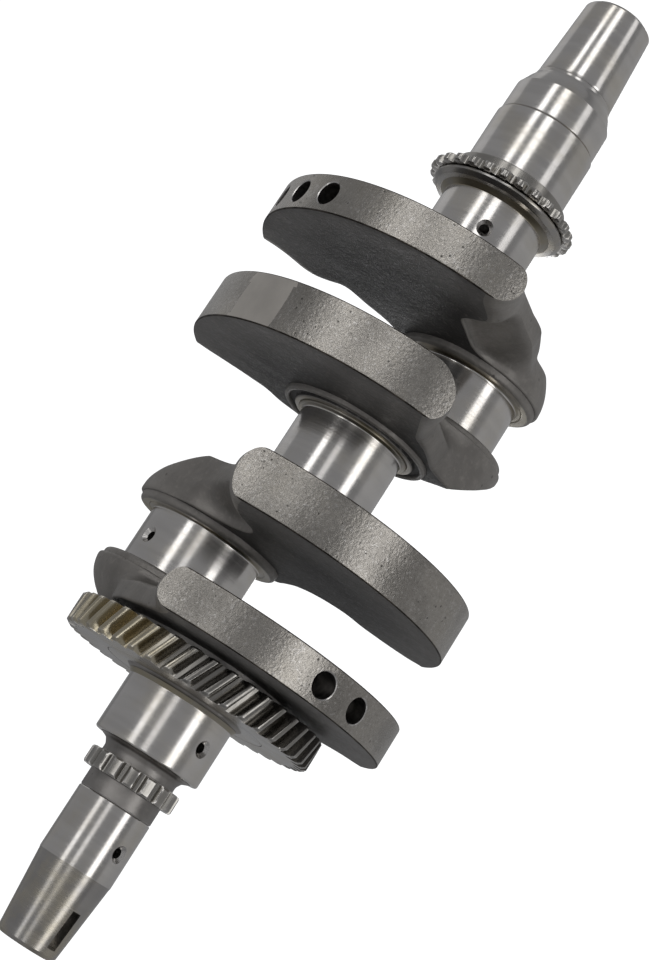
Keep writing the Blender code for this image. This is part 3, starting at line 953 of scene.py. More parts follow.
def filled(loop, spacing):
    """Fill a closed outline with even triangles; returns the points, outline first, and triangles."""
    loop = np.array(loop)
    low = loop.min(axis=0)
    high = loop.max(axis=0)
    following = np.roll(loop, -1, axis=0)
    points = [tuple(point) for point in loop]
    for row, up in enumerate(np.arange(low[1] + spacing / 2, high[1], spacing * 0.866)):
        for across in np.arange(low[0] + spacing * (0.5 if row % 2 else 0.25), high[0], spacing):
            crosses = (loop[:, 1] > up) != (following[:, 1] > up)
            share = (up - loop[crosses, 1]) / (following[crosses, 1] - loop[crosses, 1])
            edges = loop[crosses, 0] + share * (following[crosses, 0] - loop[crosses, 0])
            near = np.min(np.hypot(loop[:, 0] - across, loop[:, 1] - up))
            if np.count_nonzero(edges > across) % 2 and near > 0.6 * spacing:
                points.append((across, up))
    result = delaunay_2d_cdt([Vector(point) for point in points], [], [list(range(len(loop)))], 1, 1e-9)
    return [tuple(point) for point in result[0]], result[2]


def rounding(distance, radius):
    """How far an edge of that radius pulls the side in, at a distance from the face."""
    left = max(radius - distance, 0.0)
    return radius - math.sqrt(radius * radius - left * left)


def web_body(plan):
    """The forged web: a loft through its thickness with domed caps of rings."""
    thickness = plan.end - plan.start
    edge = sizes().face_edge
    near = [edge * share for share in (0.0, 0.08, 0.25, 0.5, 1.0)]
    inner = [edge + (thickness - 2 * edge) * (step + 1) / (LAYERS + 1) for step in range(LAYERS)]
    depths = near + inner + [thickness - depth for depth in reversed(near)]
    rows = []
    for depth in depths:
        share = depth / thickness
        loop = outline(plan, share, min(depth, thickness - depth))
        rows.append([(plan.x(share), across, up) for across, up in loop])
    count = len(rows[0])
    vertices = [point for row in rows for point in row]
    faces = []
    kinds = []
    rim_faces = set(range(RIM_STEPS)) | set(range(count - RIM_STEPS, count))
    patch_low, patch_high = plan.patch or (1.0, -1.0)
    for row in range(len(rows) - 1):
        for index in range(count):
            following = (index + 1) % count
            faces.append((row * count + index, row * count + following,
                          (row + 1) * count + following, (row + 1) * count + index))
            if index not in rim_faces:
                kinds.append(SKIN)
            # the rim's edge rows take the painted shade line
            elif row < 3 or row > len(rows) - 5:
                kinds.append(SHADOW)
            else:
                angle = math.degrees(math.atan2(*rows[row][index][1:]))
                kinds.append(PATCH if patch_low < angle < patch_high else RIM)
    for row in (0, len(rows) - 1):
        x = rows[row][0][0]
        points, triangles = filled([point[1:] for point in rows[row]], CAP_SPACING)
        start = len(vertices) - count
        vertices += [(x, *point) for point in points[count:]]
        for triangle in triangles:
            faces.append([start + index if index >= count else row * count + index for index in triangle])
            kinds.append(FACE)
    # the flat faces and the rims' edge rows carry painted shade
    finishes = [forged_skin(), rim_steel(), milled_patch(), painted_shade_web_face(), edge_shadow()]
    item = mesh_object(plan.name + "_visual", vertices, faces, finishes, kinds)
    ripple(item, plan)
    return item


def ripple(item, plan):
    """Slow waves in the forged skin; the machined rim stays true."""
    wave = sizes().forging_wave
    seed = Vector((7.0, 3.0, 1.0)) * (plan.quarter_turns + 1) + Vector((plan.main * 90, 0, 0))
    normals = [vertex.normal.copy() for vertex in item.data.vertices]
    for vertex, normal in zip(item.data.vertices, normals):
        radius = math.hypot(vertex.co.y, vertex.co.z)
        keep = ease((RIM_RADIUS - 1.2 * MM - radius) / (4 * MM))
        if keep:
            height = noise.noise(vertex.co * 55 + seed) + 0.5 * noise.noise(vertex.co * 140 + seed)
            vertex.co += normal * (height * wave * keep)


def web_collars(plan):
    """The machined collars: one round the pin, two stepped ones round the main journal."""
    way = 1 if plan.pin_side > 0 else -1
    face = plan.pin
    root = face - way * 2.5 * MM
    top = face + way * PIN_COLLAR_HEIGHT
    dip = top - way * 0.5 * MM
    path = rounded([(root, 0.0), (root, PIN_COLLAR_RADIUS + 0.5 * MM),
                    (face, PIN_COLLAR_RADIUS + 0.3 * MM, 0.4 * MM), (top, PIN_COLLAR_RADIUS, 2.3 * MM),
                    (top, PIN_RADIUS + 2.6 * MM, 0.3 * MM), (dip, PIN_RADIUS + 2.2 * MM, 0.2 * MM),
                    (dip, 0.0)])
    pin = (0.0, -THROW)
    collar = turned(plan.name + "_pin_collar", path, forged_skin(), 160, pin)
    repaint(collar, lambda band: off_axis(band, pin) < PIN_RADIUS + 4.0 * MM, warm_fillet())
    if plan.name == "web_4":
        return [collar]
    return [collar, main_collar(plan.name, plan.main, -way)]


def main_collar(name, face, way):
    """The wide collar on a web's main face, with the ring between its two steps."""
    root = face - way * 2.5 * MM
    outer = face + way * 1.9 * MM
    groove = face + way * 0.4 * MM
    inner = face + way * 2.3 * MM
    dip = face + way * 1.6 * MM
    path = rounded([(root, 0.0), (root, 31.6 * MM), (face, 31.5 * MM, 0.3 * MM),
                    (outer, 31.2 * MM, 1.0 * MM), (outer, 29.4 * MM, 0.8 * MM),
                    (groove, 29.1 * MM, 0.5 * MM), (groove, 26.6 * MM, 0.5 * MM),
                    (inner, 26.2 * MM, 0.7 * MM), (inner, MAIN_RADIUS + 2.4 * MM, 0.3 * MM),
                    (dip, MAIN_RADIUS + 1.6 * MM, 0.3 * MM), (dip, 0.0)])
    collar = turned(name + "_main_collar", path, forged_skin(), 160)
    # painted shade: the ring between the two steps takes the web face's darker painted-shade finish
    repaint(collar, lambda band: 26.4 * MM < off_axis(band) < 29.2 * MM, painted_shade_web_face())
    repaint(collar, lambda band: off_axis(band) < 26.0 * MM, warm_fillet())
    return collar


def balance_holes(plan):
    """Tools for the holes drilled into a rim."""
    tools = []
    bore = sizes().balance_hole
    for number, degrees in enumerate(plan.holes):
        tools += drill("%s_balance_%d" % (plan.name, number + 1), (plan.start + plan.end) / 2, degrees,
                       RIM_RADIUS, BALANCE_HOLE_DEPTH, bore, bore + 0.45 * MM)
    return tools


def build_web(plan):
    """Join a web with its collars, drill it and turn it into place."""
    web = web_body(plan)
    tools = [(collar, "UNION") for collar in web_collars(plan)] + balance_holes(plan)
    if plan.plug:
        tools.append((plug_seat(plan), "DIFFERENCE"))
    combine(web, tools)
    about_x(web, plan.quarter_turns)
    return settle(web, "forged_steel", plan.name)


def plug_seat(plan):
    """The counterbored seat of the plug that closes the crankpin's oil gallery."""
    radius = half_height(plan.plug) + 0.25 * MM
    outward = -1 if plan.pin_side > 0 else 1
    deep = plan.main - outward * 5.4 * MM
    mouth = plan.main + outward * 1 * MM
    up = -THROW - 12 * MM
    path = [(deep, 0.0), (deep, radius), (plan.main - outward * 0.8 * MM, radius),
            (mouth, radius + 1.6 * MM), (mouth, 0.0)]
    return turned(plan.name + "_seat", path, turned_finish(), 48, (0.0, up))


def web_plans():
    """The four webs, from the clutch end to the flywheel end."""
    outer_nose = (90.0, 96.0, 108.0)
    inner_nose = (104.0, 106.0, 100.0)
    return (
        WebPlan("web_1", -1, 0, OUTER_FLANK, (59.0, 63.6, 55.5), (-52.0, -68.0), outer_nose, 5.4,
                holes=(3.5, 17.5, 31.5), plug="oil_plug_pin_1"),
        WebPlan("web_2", 1, 0, INNER_FLANK, (58.8, 63.8, 51.4), (-29.0, -65.0), inner_nose, 0.3,
                patch=(-7.5, 11.0)),
        WebPlan("web_3", -1, 1, INNER_FLANK, (61.5, 67.0, 61.0), (-29.0, -65.0), inner_nose, 0.3),
        WebPlan("web_4", 1, 1, OUTER_FLANK, (61.0, 66.9, 62.0), (-50.0, -68.0), outer_nose, 9.5,
                holes=(-1.0, 13.7), plug="oil_plug_pin_2"),
    )


# ---------------------------------------------------------------- turned pieces
def raised_end(face, way, radius, buried, rise, reach, lip, fillet):
    """Corners where a journal runs up into a collar, from the axis out. way points along the
    journal, buried is how deep its end sits and reach where its fillet starts."""
    return [(face - way * buried, 0.0), (face - way * buried, radius + rise),
            (face + way * reach, radius + rise, lip), (face + way * reach, radius, fillet)]


def main_end(face, way):
    """Corners where a main journal meets a web's collar."""
    return raised_end(face, way, MAIN_RADIUS, 1 * MM, 1.9 * MM, 0.5 * MM, 0.5 * MM, 1.2 * MM)


def end_bore(face, way):
    """Corners of the bore in an end of the shaft, from its mouth in; way points into the shaft."""
    return [(face, 7.4 * MM, 0.2 * MM), (face + way * 1.4 * MM, 6.0 * MM, 0.2 * MM),
            (face + way * 27 * MM, 6.0 * MM), (face + way * 28.5 * MM, 0.0)]


class CRANK_OT_webs(bpy.types.Operator):
    """Forge the four webs with their counterweights, collars and balance holes"""

    bl_idname = "crankshaft.webs"
    bl_label = "Webs"

    def execute(self, context):
        for plan in web_plans():
            build_web(plan)
        return {"FINISHED"}


class CRANK_OT_pins(bpy.types.Operator):
    """Grind the two crankpins, with their fillets and oil holes"""

    bl_idname = "crankshaft.pins"
    bl_label = "Crankpins"

    def execute(self, context):
        fillet = sizes().pin_fillet
        for node, shift, degrees in (("crankpin_1", 0.0, -187.0), ("crankpin_2", -0.7 * MM, 7.3)):
            place = middle(node)
            centre = (place.y, place.z)
            low, high = (raised_end(face, way, PIN_RADIUS, 1.5 * MM, fillet, -0.3 * MM, 0.3 * MM, fillet)
                         for face, way in zip(span(node), (1, -1)))
            pin = turned_node(node, low + high[::-1], ground_finish(), centre=centre)
            tint_fillets(pin, PIN_RADIUS, centre)
            drill_oil_hole(pin, place.x + shift, degrees, PIN_RADIUS, centre)
            settle(pin, "ground_steel", node)
        return {"FINISHED"}


class CRANK_OT_main_journals(bpy.types.Operator):
    """Grind the three main journals, with their undercuts and oil holes"""

    bl_idname = "crankshaft.main_journals"
    bl_label = "Main journals"

    def execute(self, context):
        start, end = span("centre_main_journal")
        self.grind("centre_main_journal", main_end(start, 1) + main_end(end, -1)[::-1], 0.0, 135.0)
        start, end = span("clutch_main_journal")
        corners = main_end(start, 1) + [(end + 1 * MM, MAIN_RADIUS), (end + 1 * MM, 0.0)]
        self.grind("clutch_main_journal", corners, 108.8 * MM, -43.8)
        start, end = span("flywheel_main_journal")
        corners = [(start, 0.0), (start, MAIN_RADIUS, 1.0 * MM), (end - 1.2 * MM, MAIN_RADIUS, 1.2 * MM),
                   (end + 0.6 * MM, MAIN_RADIUS + 1.3 * MM), (end + 0.6 * MM, 0.0)]
        self.grind("flywheel_main_journal", corners, -114.6 * MM, -91.6)
        return {"FINISHED"}

    def grind(self, node, corners, x, degrees):
        """One journal, with an oil hole at x and at an angle from +Z towards +Y."""
        journal = turned_node(node, corners, ground_finish())
        tint_fillets(journal, MAIN_RADIUS)
        drill_oil_hole(journal, x, degrees, MAIN_RADIUS)
        settle(journal, "ground_steel", node)


class CRANK_OT_clutch_end(bpy.types.Operator):
    """Turn the clutch end: thrust collar, seal journal, shoulder and taper"""

    bl_idname = "crankshaft.clutch_end"
    bl_label = "Clutch end"

    def execute(self, context):
        self.thrust_collar("thrust_collar")
        self.seal_journal("seal_journal")
        self.shoulder("clutch_shoulder")
        self.taper("clutch_taper")
        return {"FINISHED"}

    def thrust_collar(self, node):
        start, end = span(node)
        rim = half_height(node)
        path = rounded([(start - 0.6 * MM, 0.0), (start - 0.6 * MM, MAIN_RADIUS - 0.1 * MM),
                        (start + 0.1 * MM, MAIN_RADIUS, 1.0 * MM),
                        (start + 1.7 * MM, MAIN_RADIUS + 2.4 * MM, 0.6 * MM),
                        (start + 1.9 * MM, rim - 1.8 * MM, 0.3 * MM), (start + 3.5 * MM, rim, 0.7 * MM),
                        (end, rim, 0.6 * MM), (end, 0.0)])
        collar = turned(node + "_visual", path, dull_ground())
        repaint(collar, lambda face: off_axis(face) < MAIN_RADIUS + 2.6 * MM, warm_fillet())
        settle(collar, "turned_steel", node)

    def seal_journal(self, node):
        start, end = span(node)
        radius = half_height(node)
        corners = [(start - 0.2 * MM, 0.0), (start - 0.2 * MM, radius), (end - 0.1 * MM, radius, 0.35 * MM),
                   (end + 0.05 * MM, radius - 0.9 * MM), (end + 0.05 * MM, 0.0)]
        settle(turned_node(node, corners, ground_finish()), "ground_steel", node)

    def shoulder(self, node):
        start, end = span(node)
        radius = half_height(node)
        small = half_height("clutch_taper")
        corners = [(start - 0.1 * MM, 0.0), (start - 0.1 * MM, radius - 0.9 * MM),
                   (start + 0.6 * MM, radius, 0.3 * MM), (start + 13.6 * MM, radius - 0.15 * MM, 0.6 * MM),
                   (start + 15.0 * MM, radius - 0.9 * MM, 0.9 * MM),
                   (start + 18.2 * MM, small + 2.0 * MM, 2.2 * MM),
                   (start + 20.8 * MM, small + 0.5 * MM, 1.6 * MM),
                   (end - 0.6 * MM, small + 0.3 * MM, 0.3 * MM), (end, small - 0.1 * MM), (end, 0.0)]
        settle(turned_node(node, corners, ground_finish()), "turned_steel", node)

    def taper(self, node):
        start, end = span(node)
        large = half_height(node)
        small = large - 1.9 * MM
        corners = [(start - 0.2 * MM, 0.0), (start - 0.2 * MM, large - 0.25 * MM),
                   (start + 0.5 * MM, large, 0.2 * MM), (end - 1.3 * MM, small, 0.5 * MM),
                   (end, small - 1.3 * MM, 0.4 * MM), *end_bore(end, -1)]
        settle(turned_node(node, corners, ground_finish()), "ground_steel", node)


class CRANK_OT_flywheel_end(bpy.types.Operator):
    """Turn the flywheel end: gear boss, necked seat, nose journal and keyed taper"""

    bl_idname = "crankshaft.flywheel_end"
    bl_label = "Flywheel end"

    def execute(self, context):
        self.gear_boss("gear_boss")
        self.seat("sprocket_seat")
        self.nose_journal("nose_journal")
        self.taper("flywheel_taper")
        return {"FINISHED"}

    def gear_boss(self, node):
        start, end = span(node)
        gear = span("balancer_drive_gear")[0]
        hub = half_height(node)
        corners = [(start - 0.2 * MM, 0.0), (start - 0.2 * MM, MAIN_RADIUS + 0.4 * MM),
                   (start + 0.8 * MM, MAIN_RADIUS + 2.4 * MM, 0.5 * MM),
                   (gear, MAIN_RADIUS + 2.9 * MM, 0.4 * MM), (gear, hub, 0.35 * MM),
                   (end + 0.5 * MM, hub), (end + 0.5 * MM, 0.0)]
        boss = turned_node(node, corners, turned_finish())
        flat = MAIN_RADIUS + 3 * MM
        repaint(boss, lambda face: abs(face.normal.x) > 0.95 and off_axis(face) > flat, dull_ground())
        settle(boss, "turned_steel", node)

    def seat(self, node):
        start, end = span(node)
        inner, outer = span("timing_sprocket")
        shoulder = half_height("nose_journal") - 0.15 * MM
        under = 15.6 * MM
        neck = 15.3 * MM
        corners = [(start - 0.1 * MM, 0.0), (start - 0.1 * MM, shoulder - 0.25 * MM),
                   (start + 0.4 * MM, shoulder, 0.2 * MM), (inner - 0.2 * MM, shoulder, 0.4 * MM),
                   (inner, under), (outer, under), (outer + 0.6 * MM, neck, 0.5 * MM),
                   (outer + 2.6 * MM, neck, 2.4 * MM), (end - 1.0 * MM, neck + 1.2 * MM, 1.4 * MM),
                   (end + 0.2 * MM, 19.3 * MM), (end + 0.2 * MM, 0.0)]
        settle(turned_node(node, corners, turned_finish()), "turned_steel", node)

    def nose_journal(self, node):
        start, end = span(node)
        radius = half_height(node)
        corners = [(start + 0.2 * MM, 0.0), (start + 0.2 * MM, radius - 0.02 * MM),
                   (start + 0.6 * MM, radius, 0.1 * MM), (end - 0.3 * MM, radius, 0.15 * MM),
                   (end + 0.05 * MM, radius - 0.3 * MM), (end + 0.05 * MM, 0.0)]
        item = turned_node(node, corners, ground_finish())
        drill_oil_hole(item, -161.8 * MM, -92.4, radius)
        settle(item, "ground_steel", node)

    def taper(self, node):
        start, end = span(node)
        large = half_height(node)
        small = large - 2.75 * MM
        corners = [*reversed(end_bore(start, 1)), (start, small - 1.3 * MM, 0.3 * MM),
                   (start + 1.4 * MM, small, 0.4 * MM), (end - 0.4 * MM, large, 0.2 * MM),
                   (end + 0.9 * MM, half_height("nose_journal") - 0.01 * MM), (end + 0.9 * MM, 0.0)]
        item = turned_node(node, corners, dull_ground())
        combine(item, [(keyway_tool((large + small) / 2), "DIFFERENCE")])
        settle(item, "ground_steel", node)


def keyway_tool(surface):
    """A disc like the cutter of a half-moon keyway."""
    x = -195.1 * MM
    radius = 9.5 * MM
    half = 2.15 * MM
    depth = 4.6 * MM
    steps = 96
    y = -(surface - depth + radius)
    vertices = []
    for side in (-half, half):
        for step in range(steps):
            angle = TURN * step / steps
            vertices.append((x + radius * math.cos(angle), y + radius * math.sin(angle), side))
    faces = [(step, (step + 1) % steps, steps + (step + 1) % steps, steps + step) for step in range(steps)]
    faces += [tuple(range(steps)), tuple(range(2 * steps - 1, steps - 1, -1))]
    # painted shade: the keyway's side walls take the dark drilled finish, its floor the taper's finish
    return mesh_object("keyway_tool", vertices, faces, [dull_ground(), drilled_steel_and_wall_shade()], [0] * steps + [1, 1])


# ---------------------------------------------------------------- toothed rings
def toothed_ring_tree():
    """Geometry nodes that repeat one sector of a toothed ring about X."""
    tree = bpy.data.node_groups.get("Toothed ring")
    if tree:
        return tree
    tree = bpy.data.node_groups.new("Toothed ring", "GeometryNodeTree")
    inputs = {"Sector": "NodeSocketGeometry", "Teeth": "NodeSocketInt", "Phase": "NodeSocketFloat",
              "Finish": "NodeSocketMaterial"}
    for label, kind in inputs.items():
        tree.interface.new_socket(label, in_out="INPUT", socket_type=kind)
    tree.interface.new_socket("Ring", in_out="OUTPUT", socket_type="NodeSocketGeometry")
    source = tree.nodes.new("NodeGroupInput")
    sink = tree.nodes.new("NodeGroupOutput")
    points = tree.nodes.new("GeometryNodePoints")
    index = tree.nodes.new("GeometryNodeInputIndex")
    pitch = math_node(tree, "DIVIDE", TURN, source.outputs["Teeth"])
    angle = math_node(tree, "MULTIPLY_ADD", index.outputs[0], pitch, source.outputs["Phase"])
    turn = tree.nodes.new("ShaderNodeCombineXYZ")
    place = tree.nodes.new("GeometryNodeInstanceOnPoints")
    real = tree.nodes.new("GeometryNodeRealizeInstances")
    coat = tree.nodes.new("GeometryNodeSetMaterial")
    for start, end in ((source.outputs["Teeth"], points.inputs["Count"]), (angle, turn.inputs["X"]),
                       (points.outputs[0], place.inputs["Points"]),
                       (source.outputs["Sector"], place.inputs["Instance"]),
                       (turn.outputs[0], place.inputs["Rotation"]), (place.outputs[0], real.inputs[0]),
                       (real.outputs[0], coat.inputs["Geometry"]),
                       (source.outputs["Finish"], coat.inputs["Material"]),
                       (coat.outputs[0], sink.inputs["Ring"])):
        tree.links.new(start, end)
    return tree


def tooth_sector(name, teeth, tooth, layers, bore):
    """One pitch of a toothed ring, open at its two cut sides. tooth holds (share of pitch, radius)
    from the middle of one gap to the next; layers are (x, turn, cap on the radius)."""
    pitch = TURN / teeth
    rows = []
    for x, twist, cap in (*layers, (*layers[-1][:2], bore), (*layers[0][:2], bore)):
        row = []
        for share, radius in tooth:
            angle = share * pitch + twist
            reach = min(radius, cap)
            row.append((x, -reach * math.sin(angle), reach * math.cos(angle)))
        rows.append(row)
    width = len(tooth)
    vertices = [point for row in rows for point in row]
    faces = []
    for row in range(len(rows)):
        following = (row + 1) % len(rows)
        for index in range(width - 1):
            faces.append((row * width + index, row * width + index + 1,
                          following * width + index + 1, following * width + index))
    return plain_object(name, vertices, faces)


def repeat_sector(item, teeth, phase, material):
    """Run the nodes on a sector, keep the result as a plain mesh and weld it shut."""
    tree = toothed_ring_tree()
    modifier = item.modifiers.new("Toothed ring", "NODES")
    modifier.node_group = tree
    values = {"Teeth": teeth, "Phase": phase, "Finish": material}
    for socket in tree.interface.items_tree:
        if socket.item_type == "SOCKET" and socket.in_out == "INPUT" and socket.name in values:
            modifier[socket.identifier] = values[socket.name]
    item.data.materials.append(material)
    apply_modifiers(item)
    weld(item.data, 0.002 * MM)
    return item


def toothed_ring(node, teeth, half_tooth, layers, bore, degrees, material):
    """A whole ring on a node, its first tooth at an angle from +Z. half_tooth holds the rising
    half of a tooth as (share of pitch from the middle, radius)."""
    sector = tooth_sector(node + "_visual", teeth, mirrored_tooth(half_tooth), layers, bore)
    return repeat_sector(sector, teeth, math.radians(degrees), material)


def mirrored_tooth(half):
    """A whole tooth from its rising half."""
    falling = [(share, radius) for share, radius in reversed(half) if share]
    return [(-share, radius) for share, radius in half] + falling


class CRANK_OT_balancer_gear(bpy.types.Operator):
    """Hob the helical gear that drives the balancer"""

    bl_idname = "crankshaft.balancer_gear"
    bl_label = "Balancer gear"

    def execute(self, context):
        node = "balancer_drive_gear"
        start, end = span(node)
        tip = 52.5 * MM
        root = 47.5 * MM
        bore = half_height("gear_boss") + 0.12 * MM
        teeth = sizes().gear_teeth
        half_tooth = [(0.5, root), (0.40, root), (0.345, root + 0.25 * MM), (0.31, root + 0.8 * MM),
                      (0.265, root + 2.0 * MM), (0.205, tip - 1.5 * MM), (0.150, tip - 0.35 * MM),
                      (0.128, tip - 0.08 * MM), (0.105, tip), (0.0, tip)]
        helix = math.tan(math.radians(25.0)) / tip          # turn per metre along the shaft
        width = end - start
        wide = width / MM
        depths = (0.0, 0.35, 1.0, *np.linspace(1.6, wide - 1.4, 10), wide - 0.7, wide - 0.2, wide)
        layers = []
        for depth in depths:
            depth = depth * MM
            near = tip - max(0.0, (1.0 * MM - depth) * 1.5)
            far = tip - max(0.0, 0.7 * MM - (width - depth))
            layers.append((start + depth, depth * helix, min(near, far)))
        degrees = 24.9 - math.degrees(1.0 * MM * helix)
        gear = toothed_ring(node, teeth, half_tooth, layers, bore, degrees, hobbed_finish())
        repaint(gear, lambda face: abs(face.normal.x) > 0.95, dull_ground())
        settle(gear, "hobbed_steel", node)
        return {"FINISHED"}


class CRANK_OT_timing_sprocket(bpy.types.Operator):
    """Cut the timing chain's sprocket"""

    bl_idname = "crankshaft.timing_sprocket"
    bl_label = "Timing sprocket"

    def execute(self, context):
        node = "timing_sprocket"
        start, end = span(node)
        tip = 18.8 * MM
        root = 16.8 * MM
        half_tooth = [(0.5, root), (0.42, root), (0.37, root + 0.2 * MM), (0.335, root + 0.7 * MM),
                      (0.30, tip - 0.75 * MM), (0.26, tip - 0.22 * MM), (0.20, tip),
                      (0.10, tip + 0.02 * MM), (0.0, tip + 0.02 * MM)]
        width = end - start
        layers = []
        for share in (0.0, 0.04, 0.1, 0.3, 0.5, 0.7, 0.9, 0.96, 1.0):
            depth = share * width
            near = min(depth, width - depth)
            layers.append((start + depth, 0.0, tip - max(0.0, 0.55 * MM - near)))
        teeth = sizes().sprocket_teeth
        sprocket = toothed_ring(node, teeth, half_tooth, layers, 15.5 * MM, 21.45, cut_finish())
        settle(sprocket, "hobbed_steel", node)
        return {"FINISHED"}


class CRANK_OT_pump_ring(bpy.types.Operator):
    """Cut the thin chain ring that drives the pump, with its hub"""

    bl_idname = "crankshaft.pump_ring"
    bl_label = "Pump drive ring"

    def execute(self, context):
        node = "pump_drive_ring"
        start, end = span(node)
        teeth_end = 130.2 * MM
        tip = 32.0 * MM
        root = 29.3 * MM
        hub = 24.6 * MM
        bore = half_height("seal_journal") + 0.15 * MM
        half_tooth = [(0.5, root), (0.43, root + 0.08 * MM), (0.36, root + 0.5 * MM),
                      (0.30, root + 1.1 * MM), (0.22, tip - 0.75 * MM), (0.15, tip - 0.25 * MM),
                      (0.08, tip - 0.03 * MM), (0.0, tip)]
        caps = ((start, 30.9 * MM), (start + 0.35 * MM, 31.6 * MM), (start + 0.9 * MM, tip),
                (start + (teeth_end - start) / 2, tip), (teeth_end - 0.9 * MM, tip),
                (teeth_end - 0.35 * MM, 31.5 * MM), (teeth_end, 30.8 * MM),
                (teeth_end + 0.02 * MM, 28.6 * MM), (teeth_end + 0.02 * MM, hub + 0.7 * MM),
                (teeth_end + 0.3 * MM, hub + 0.2 * MM), (teeth_end + 0.8 * MM, hub),
                (end - 0.9 * MM, hub), (end - 0.35 * MM, hub - 0.2 * MM), (end, hub - 0.8 * MM))
        layers = [(x, 0.0, cap) for x, cap in caps]
        ring = toothed_ring(node, sizes().ring_teeth, half_tooth, layers, bore, 8.57, cut_finish())
        settle(ring, "hobbed_steel", node)
        return {"FINISHED"}


class CRANK_OT_plugs(bpy.types.Operator):
    """Press in the three plugs that close the oil galleries"""

    bl_idname = "crankshaft.plugs"
    bl_label = "Gallery plugs"

    def execute(self, context):
        for node in ("oil_plug_pin_1", "oil_plug_pin_2", "gallery_plug"):
            start, end = span(node)
            radius = half_height(node)
            place = middle(node)
            outer, inner = (end, start) if node == "oil_plug_pin_1" else (start, end)
            way = 1 if outer > inner else -1
            dish = outer - way * 1.2 * MM
            path = rounded([(inner, 0.0), (inner, radius, 0.3 * MM), (outer, radius, 0.5 * MM),
                            (outer, radius * 0.55, 0.2 * MM), (dish, radius * 0.45, 0.3 * MM), (dish, 0.0)])
            item = turned(node + "_visual", path, plug_finish(), 64, (place.y, place.z))
            settle(item, "plug_steel", node)
        return {"FINISHED"}


# ---------------------------------------------------------------- studio
FLOOR_DROP = 0.62                    # the shaft hangs this far above the floor
CAMERA_PLACE = Vector((-0.16249, -0.52283, 0.51772))
CAMERA_AIM = Vector((-0.0029, 0.0003, -0.0006))
CAMERA_ROLL = math.radians(-45.373)
CAMERA_LENS = 74.17                  # mm
CAMERA_SENSOR = 36.0                 # mm, its height

# Soft strips along X: name, degrees from +Z towards +Y, distance from the shaft, first and last X,
# width, brightness.
STRIPS = (
    ("top_strip", -4, 1.3, 0.06, 1.6, 0.27, 1.9),
    ("tail_strip", -4, 1.3, -1.2, 0.05, 0.27, 1.2),
    ("clutch_strip", -33, 1.3, 0.50, 1.8, 0.36, 1.9),
    ("centre_strip", -34, 1.3, -1.2, 0.46, 0.26, 0.8),
    ("front_strip", -90, 1.2, -1.2, 0.48, 0.34, 1.9),
    ("end_strip", -94, 1.2, 0.50, 1.8, 0.34, 0.9),
    ("low_strip", 137, 0.6, -0.04, 0.9, 0.20, 2.0),
    ("back_panel", 88, 1.3, 0.25, 1.8, 1.10, 0.22),
)


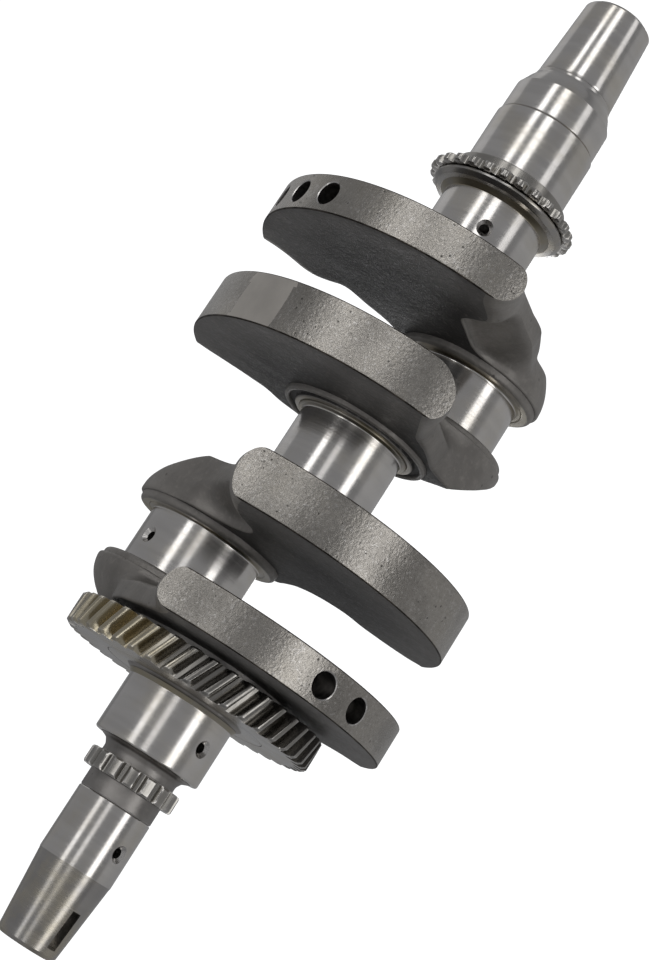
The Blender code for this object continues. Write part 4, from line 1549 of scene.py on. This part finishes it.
class CRANK_OT_studio(bpy.types.Operator):
    """Set the pale floor, the soft lights and the camera"""

    bl_idname = "crankshaft.studio"
    bl_label = "Studio"

    def execute(self, context):
        self.floor()
        for strip in STRIPS:
            self.strip(*strip)
        self.world(context.scene)
        self.camera(context.scene)
        return {"FINISHED"}

    def floor(self):
        half = 6.0
        height = -FLOOR_DROP
        corners = [(-half, -half, height), (half, -half, height), (half, half, height), (-half, half, height)]
        item = plain_object("floor", corners, [(0, 1, 2, 3)])
        finish = Finish("floor_paper", metallic=0.0)
        finish.done(finish.toned(paint("floor"), finish.grain(3.0, 60.0)[0], 0.3, 0.7, 0.985, 1.0))
        finish.shader.inputs["Roughness"].default_value = 0.9
        finish.shader.inputs["Specular IOR Level"].default_value = 0.0
        finish.shader.inputs["Emission Color"].default_value = (1.0, 1.0, 1.0, 1.0)
        # lit paper for the camera, dimmer where the steel reflects it
        seen = finish.tree.nodes.new("ShaderNodeLightPath").outputs["Is Camera Ray"]
        glow = math_node(finish.tree, "MULTIPLY", seen, 0.85)
        finish.tree.links.new(glow, finish.shader.inputs["Emission Strength"])
        item.data.materials.append(finish.material)

    def strip(self, name, degrees, distance, first, last, width, brightness):
        """A soft strip along X that lights the shaft and stays out of the camera's sight."""
        lamp = bpy.data.lights.new(name, "AREA")
        lamp.shape = "RECTANGLE"
        lamp.size = last - first
        lamp.size_y = width
        lamp.energy = brightness * math.pi * lamp.size * lamp.size_y
        angle = math.radians(degrees)
        outward = Vector((0.0, math.sin(angle), math.cos(angle)))
        along = Vector((1.0, 0.0, 0.0))
        place = outward * distance + along * (first + last) / 2
        item = bpy.data.objects.new(name, lamp)
        facing = Matrix((along, outward.cross(along), outward)).transposed()
        item.matrix_world = Matrix.Translation(place) @ facing.to_4x4()
        item.visible_camera = False
        bpy.context.collection.objects.link(item)

    def world(self, scene):
        world = bpy.data.worlds.new("studio")
        world.use_nodes = True
        world.node_tree.nodes["Background"].inputs["Color"].default_value = (0.96, 0.97, 1.0, 1.0)
        world.node_tree.nodes["Background"].inputs["Strength"].default_value = 0.30
        scene.world = world

    def camera(self, scene):
        lens = bpy.data.cameras.new("camera")
        lens.sensor_fit = "VERTICAL"
        lens.sensor_height = CAMERA_SENSOR
        lens.lens = CAMERA_LENS
        item = bpy.data.objects.new("camera", lens)
        item.location = CAMERA_PLACE
        look = (CAMERA_AIM - CAMERA_PLACE).to_track_quat("-Z", "Y").to_matrix()
        item.rotation_euler = (look @ Matrix.Rotation(CAMERA_ROLL, 3, "Z")).to_euler()
        bpy.context.collection.objects.link(item)
        scene.camera = item
        scene.view_settings.view_transform = "Standard"


# ---------------------------------------------------------------- panel and registration
# in the order in which the pieces are built
OPERATORS = (CRANK_OT_webs, CRANK_OT_pins, CRANK_OT_main_journals, CRANK_OT_clutch_end,
             CRANK_OT_flywheel_end, CRANK_OT_balancer_gear, CRANK_OT_timing_sprocket,
             CRANK_OT_pump_ring, CRANK_OT_plugs, CRANK_OT_studio)


class CRANK_PT_panel(bpy.types.Panel):
    """Settings and steps of the crankshaft"""

    bl_idname = "CRANK_PT_panel"
    bl_label = "Crankshaft"
    bl_space_type = "VIEW_3D"
    bl_region_type = "UI"
    bl_category = "Crankshaft"

    def draw(self, context):
        layout = self.layout
        for group in (context.scene.crankshaft_sizes, context.scene.crankshaft_colours):
            box = layout.box()
            for name in group.__annotations__:
                box.prop(group, name)
        for operator in OPERATORS:
            layout.operator(operator.bl_idname)


CLASSES = (CrankshaftSizes, CrankshaftColours, *OPERATORS, CRANK_PT_panel)


def register():
    for item in CLASSES:
        bpy.utils.register_class(item)
    bpy.types.Scene.crankshaft_sizes = PointerProperty(type=CrankshaftSizes)
    bpy.types.Scene.crankshaft_colours = PointerProperty(type=CrankshaftColours)


def unregister():
    del bpy.types.Scene.crankshaft_colours
    del bpy.types.Scene.crankshaft_sizes
    for item in reversed(CLASSES):
        bpy.utils.unregister_class(item)


def main():
    register()
    for operator in OPERATORS:
        group, name = operator.bl_idname.split(".")
        getattr(getattr(bpy.ops, group), name)()


if __name__ == "__main__":
    main()
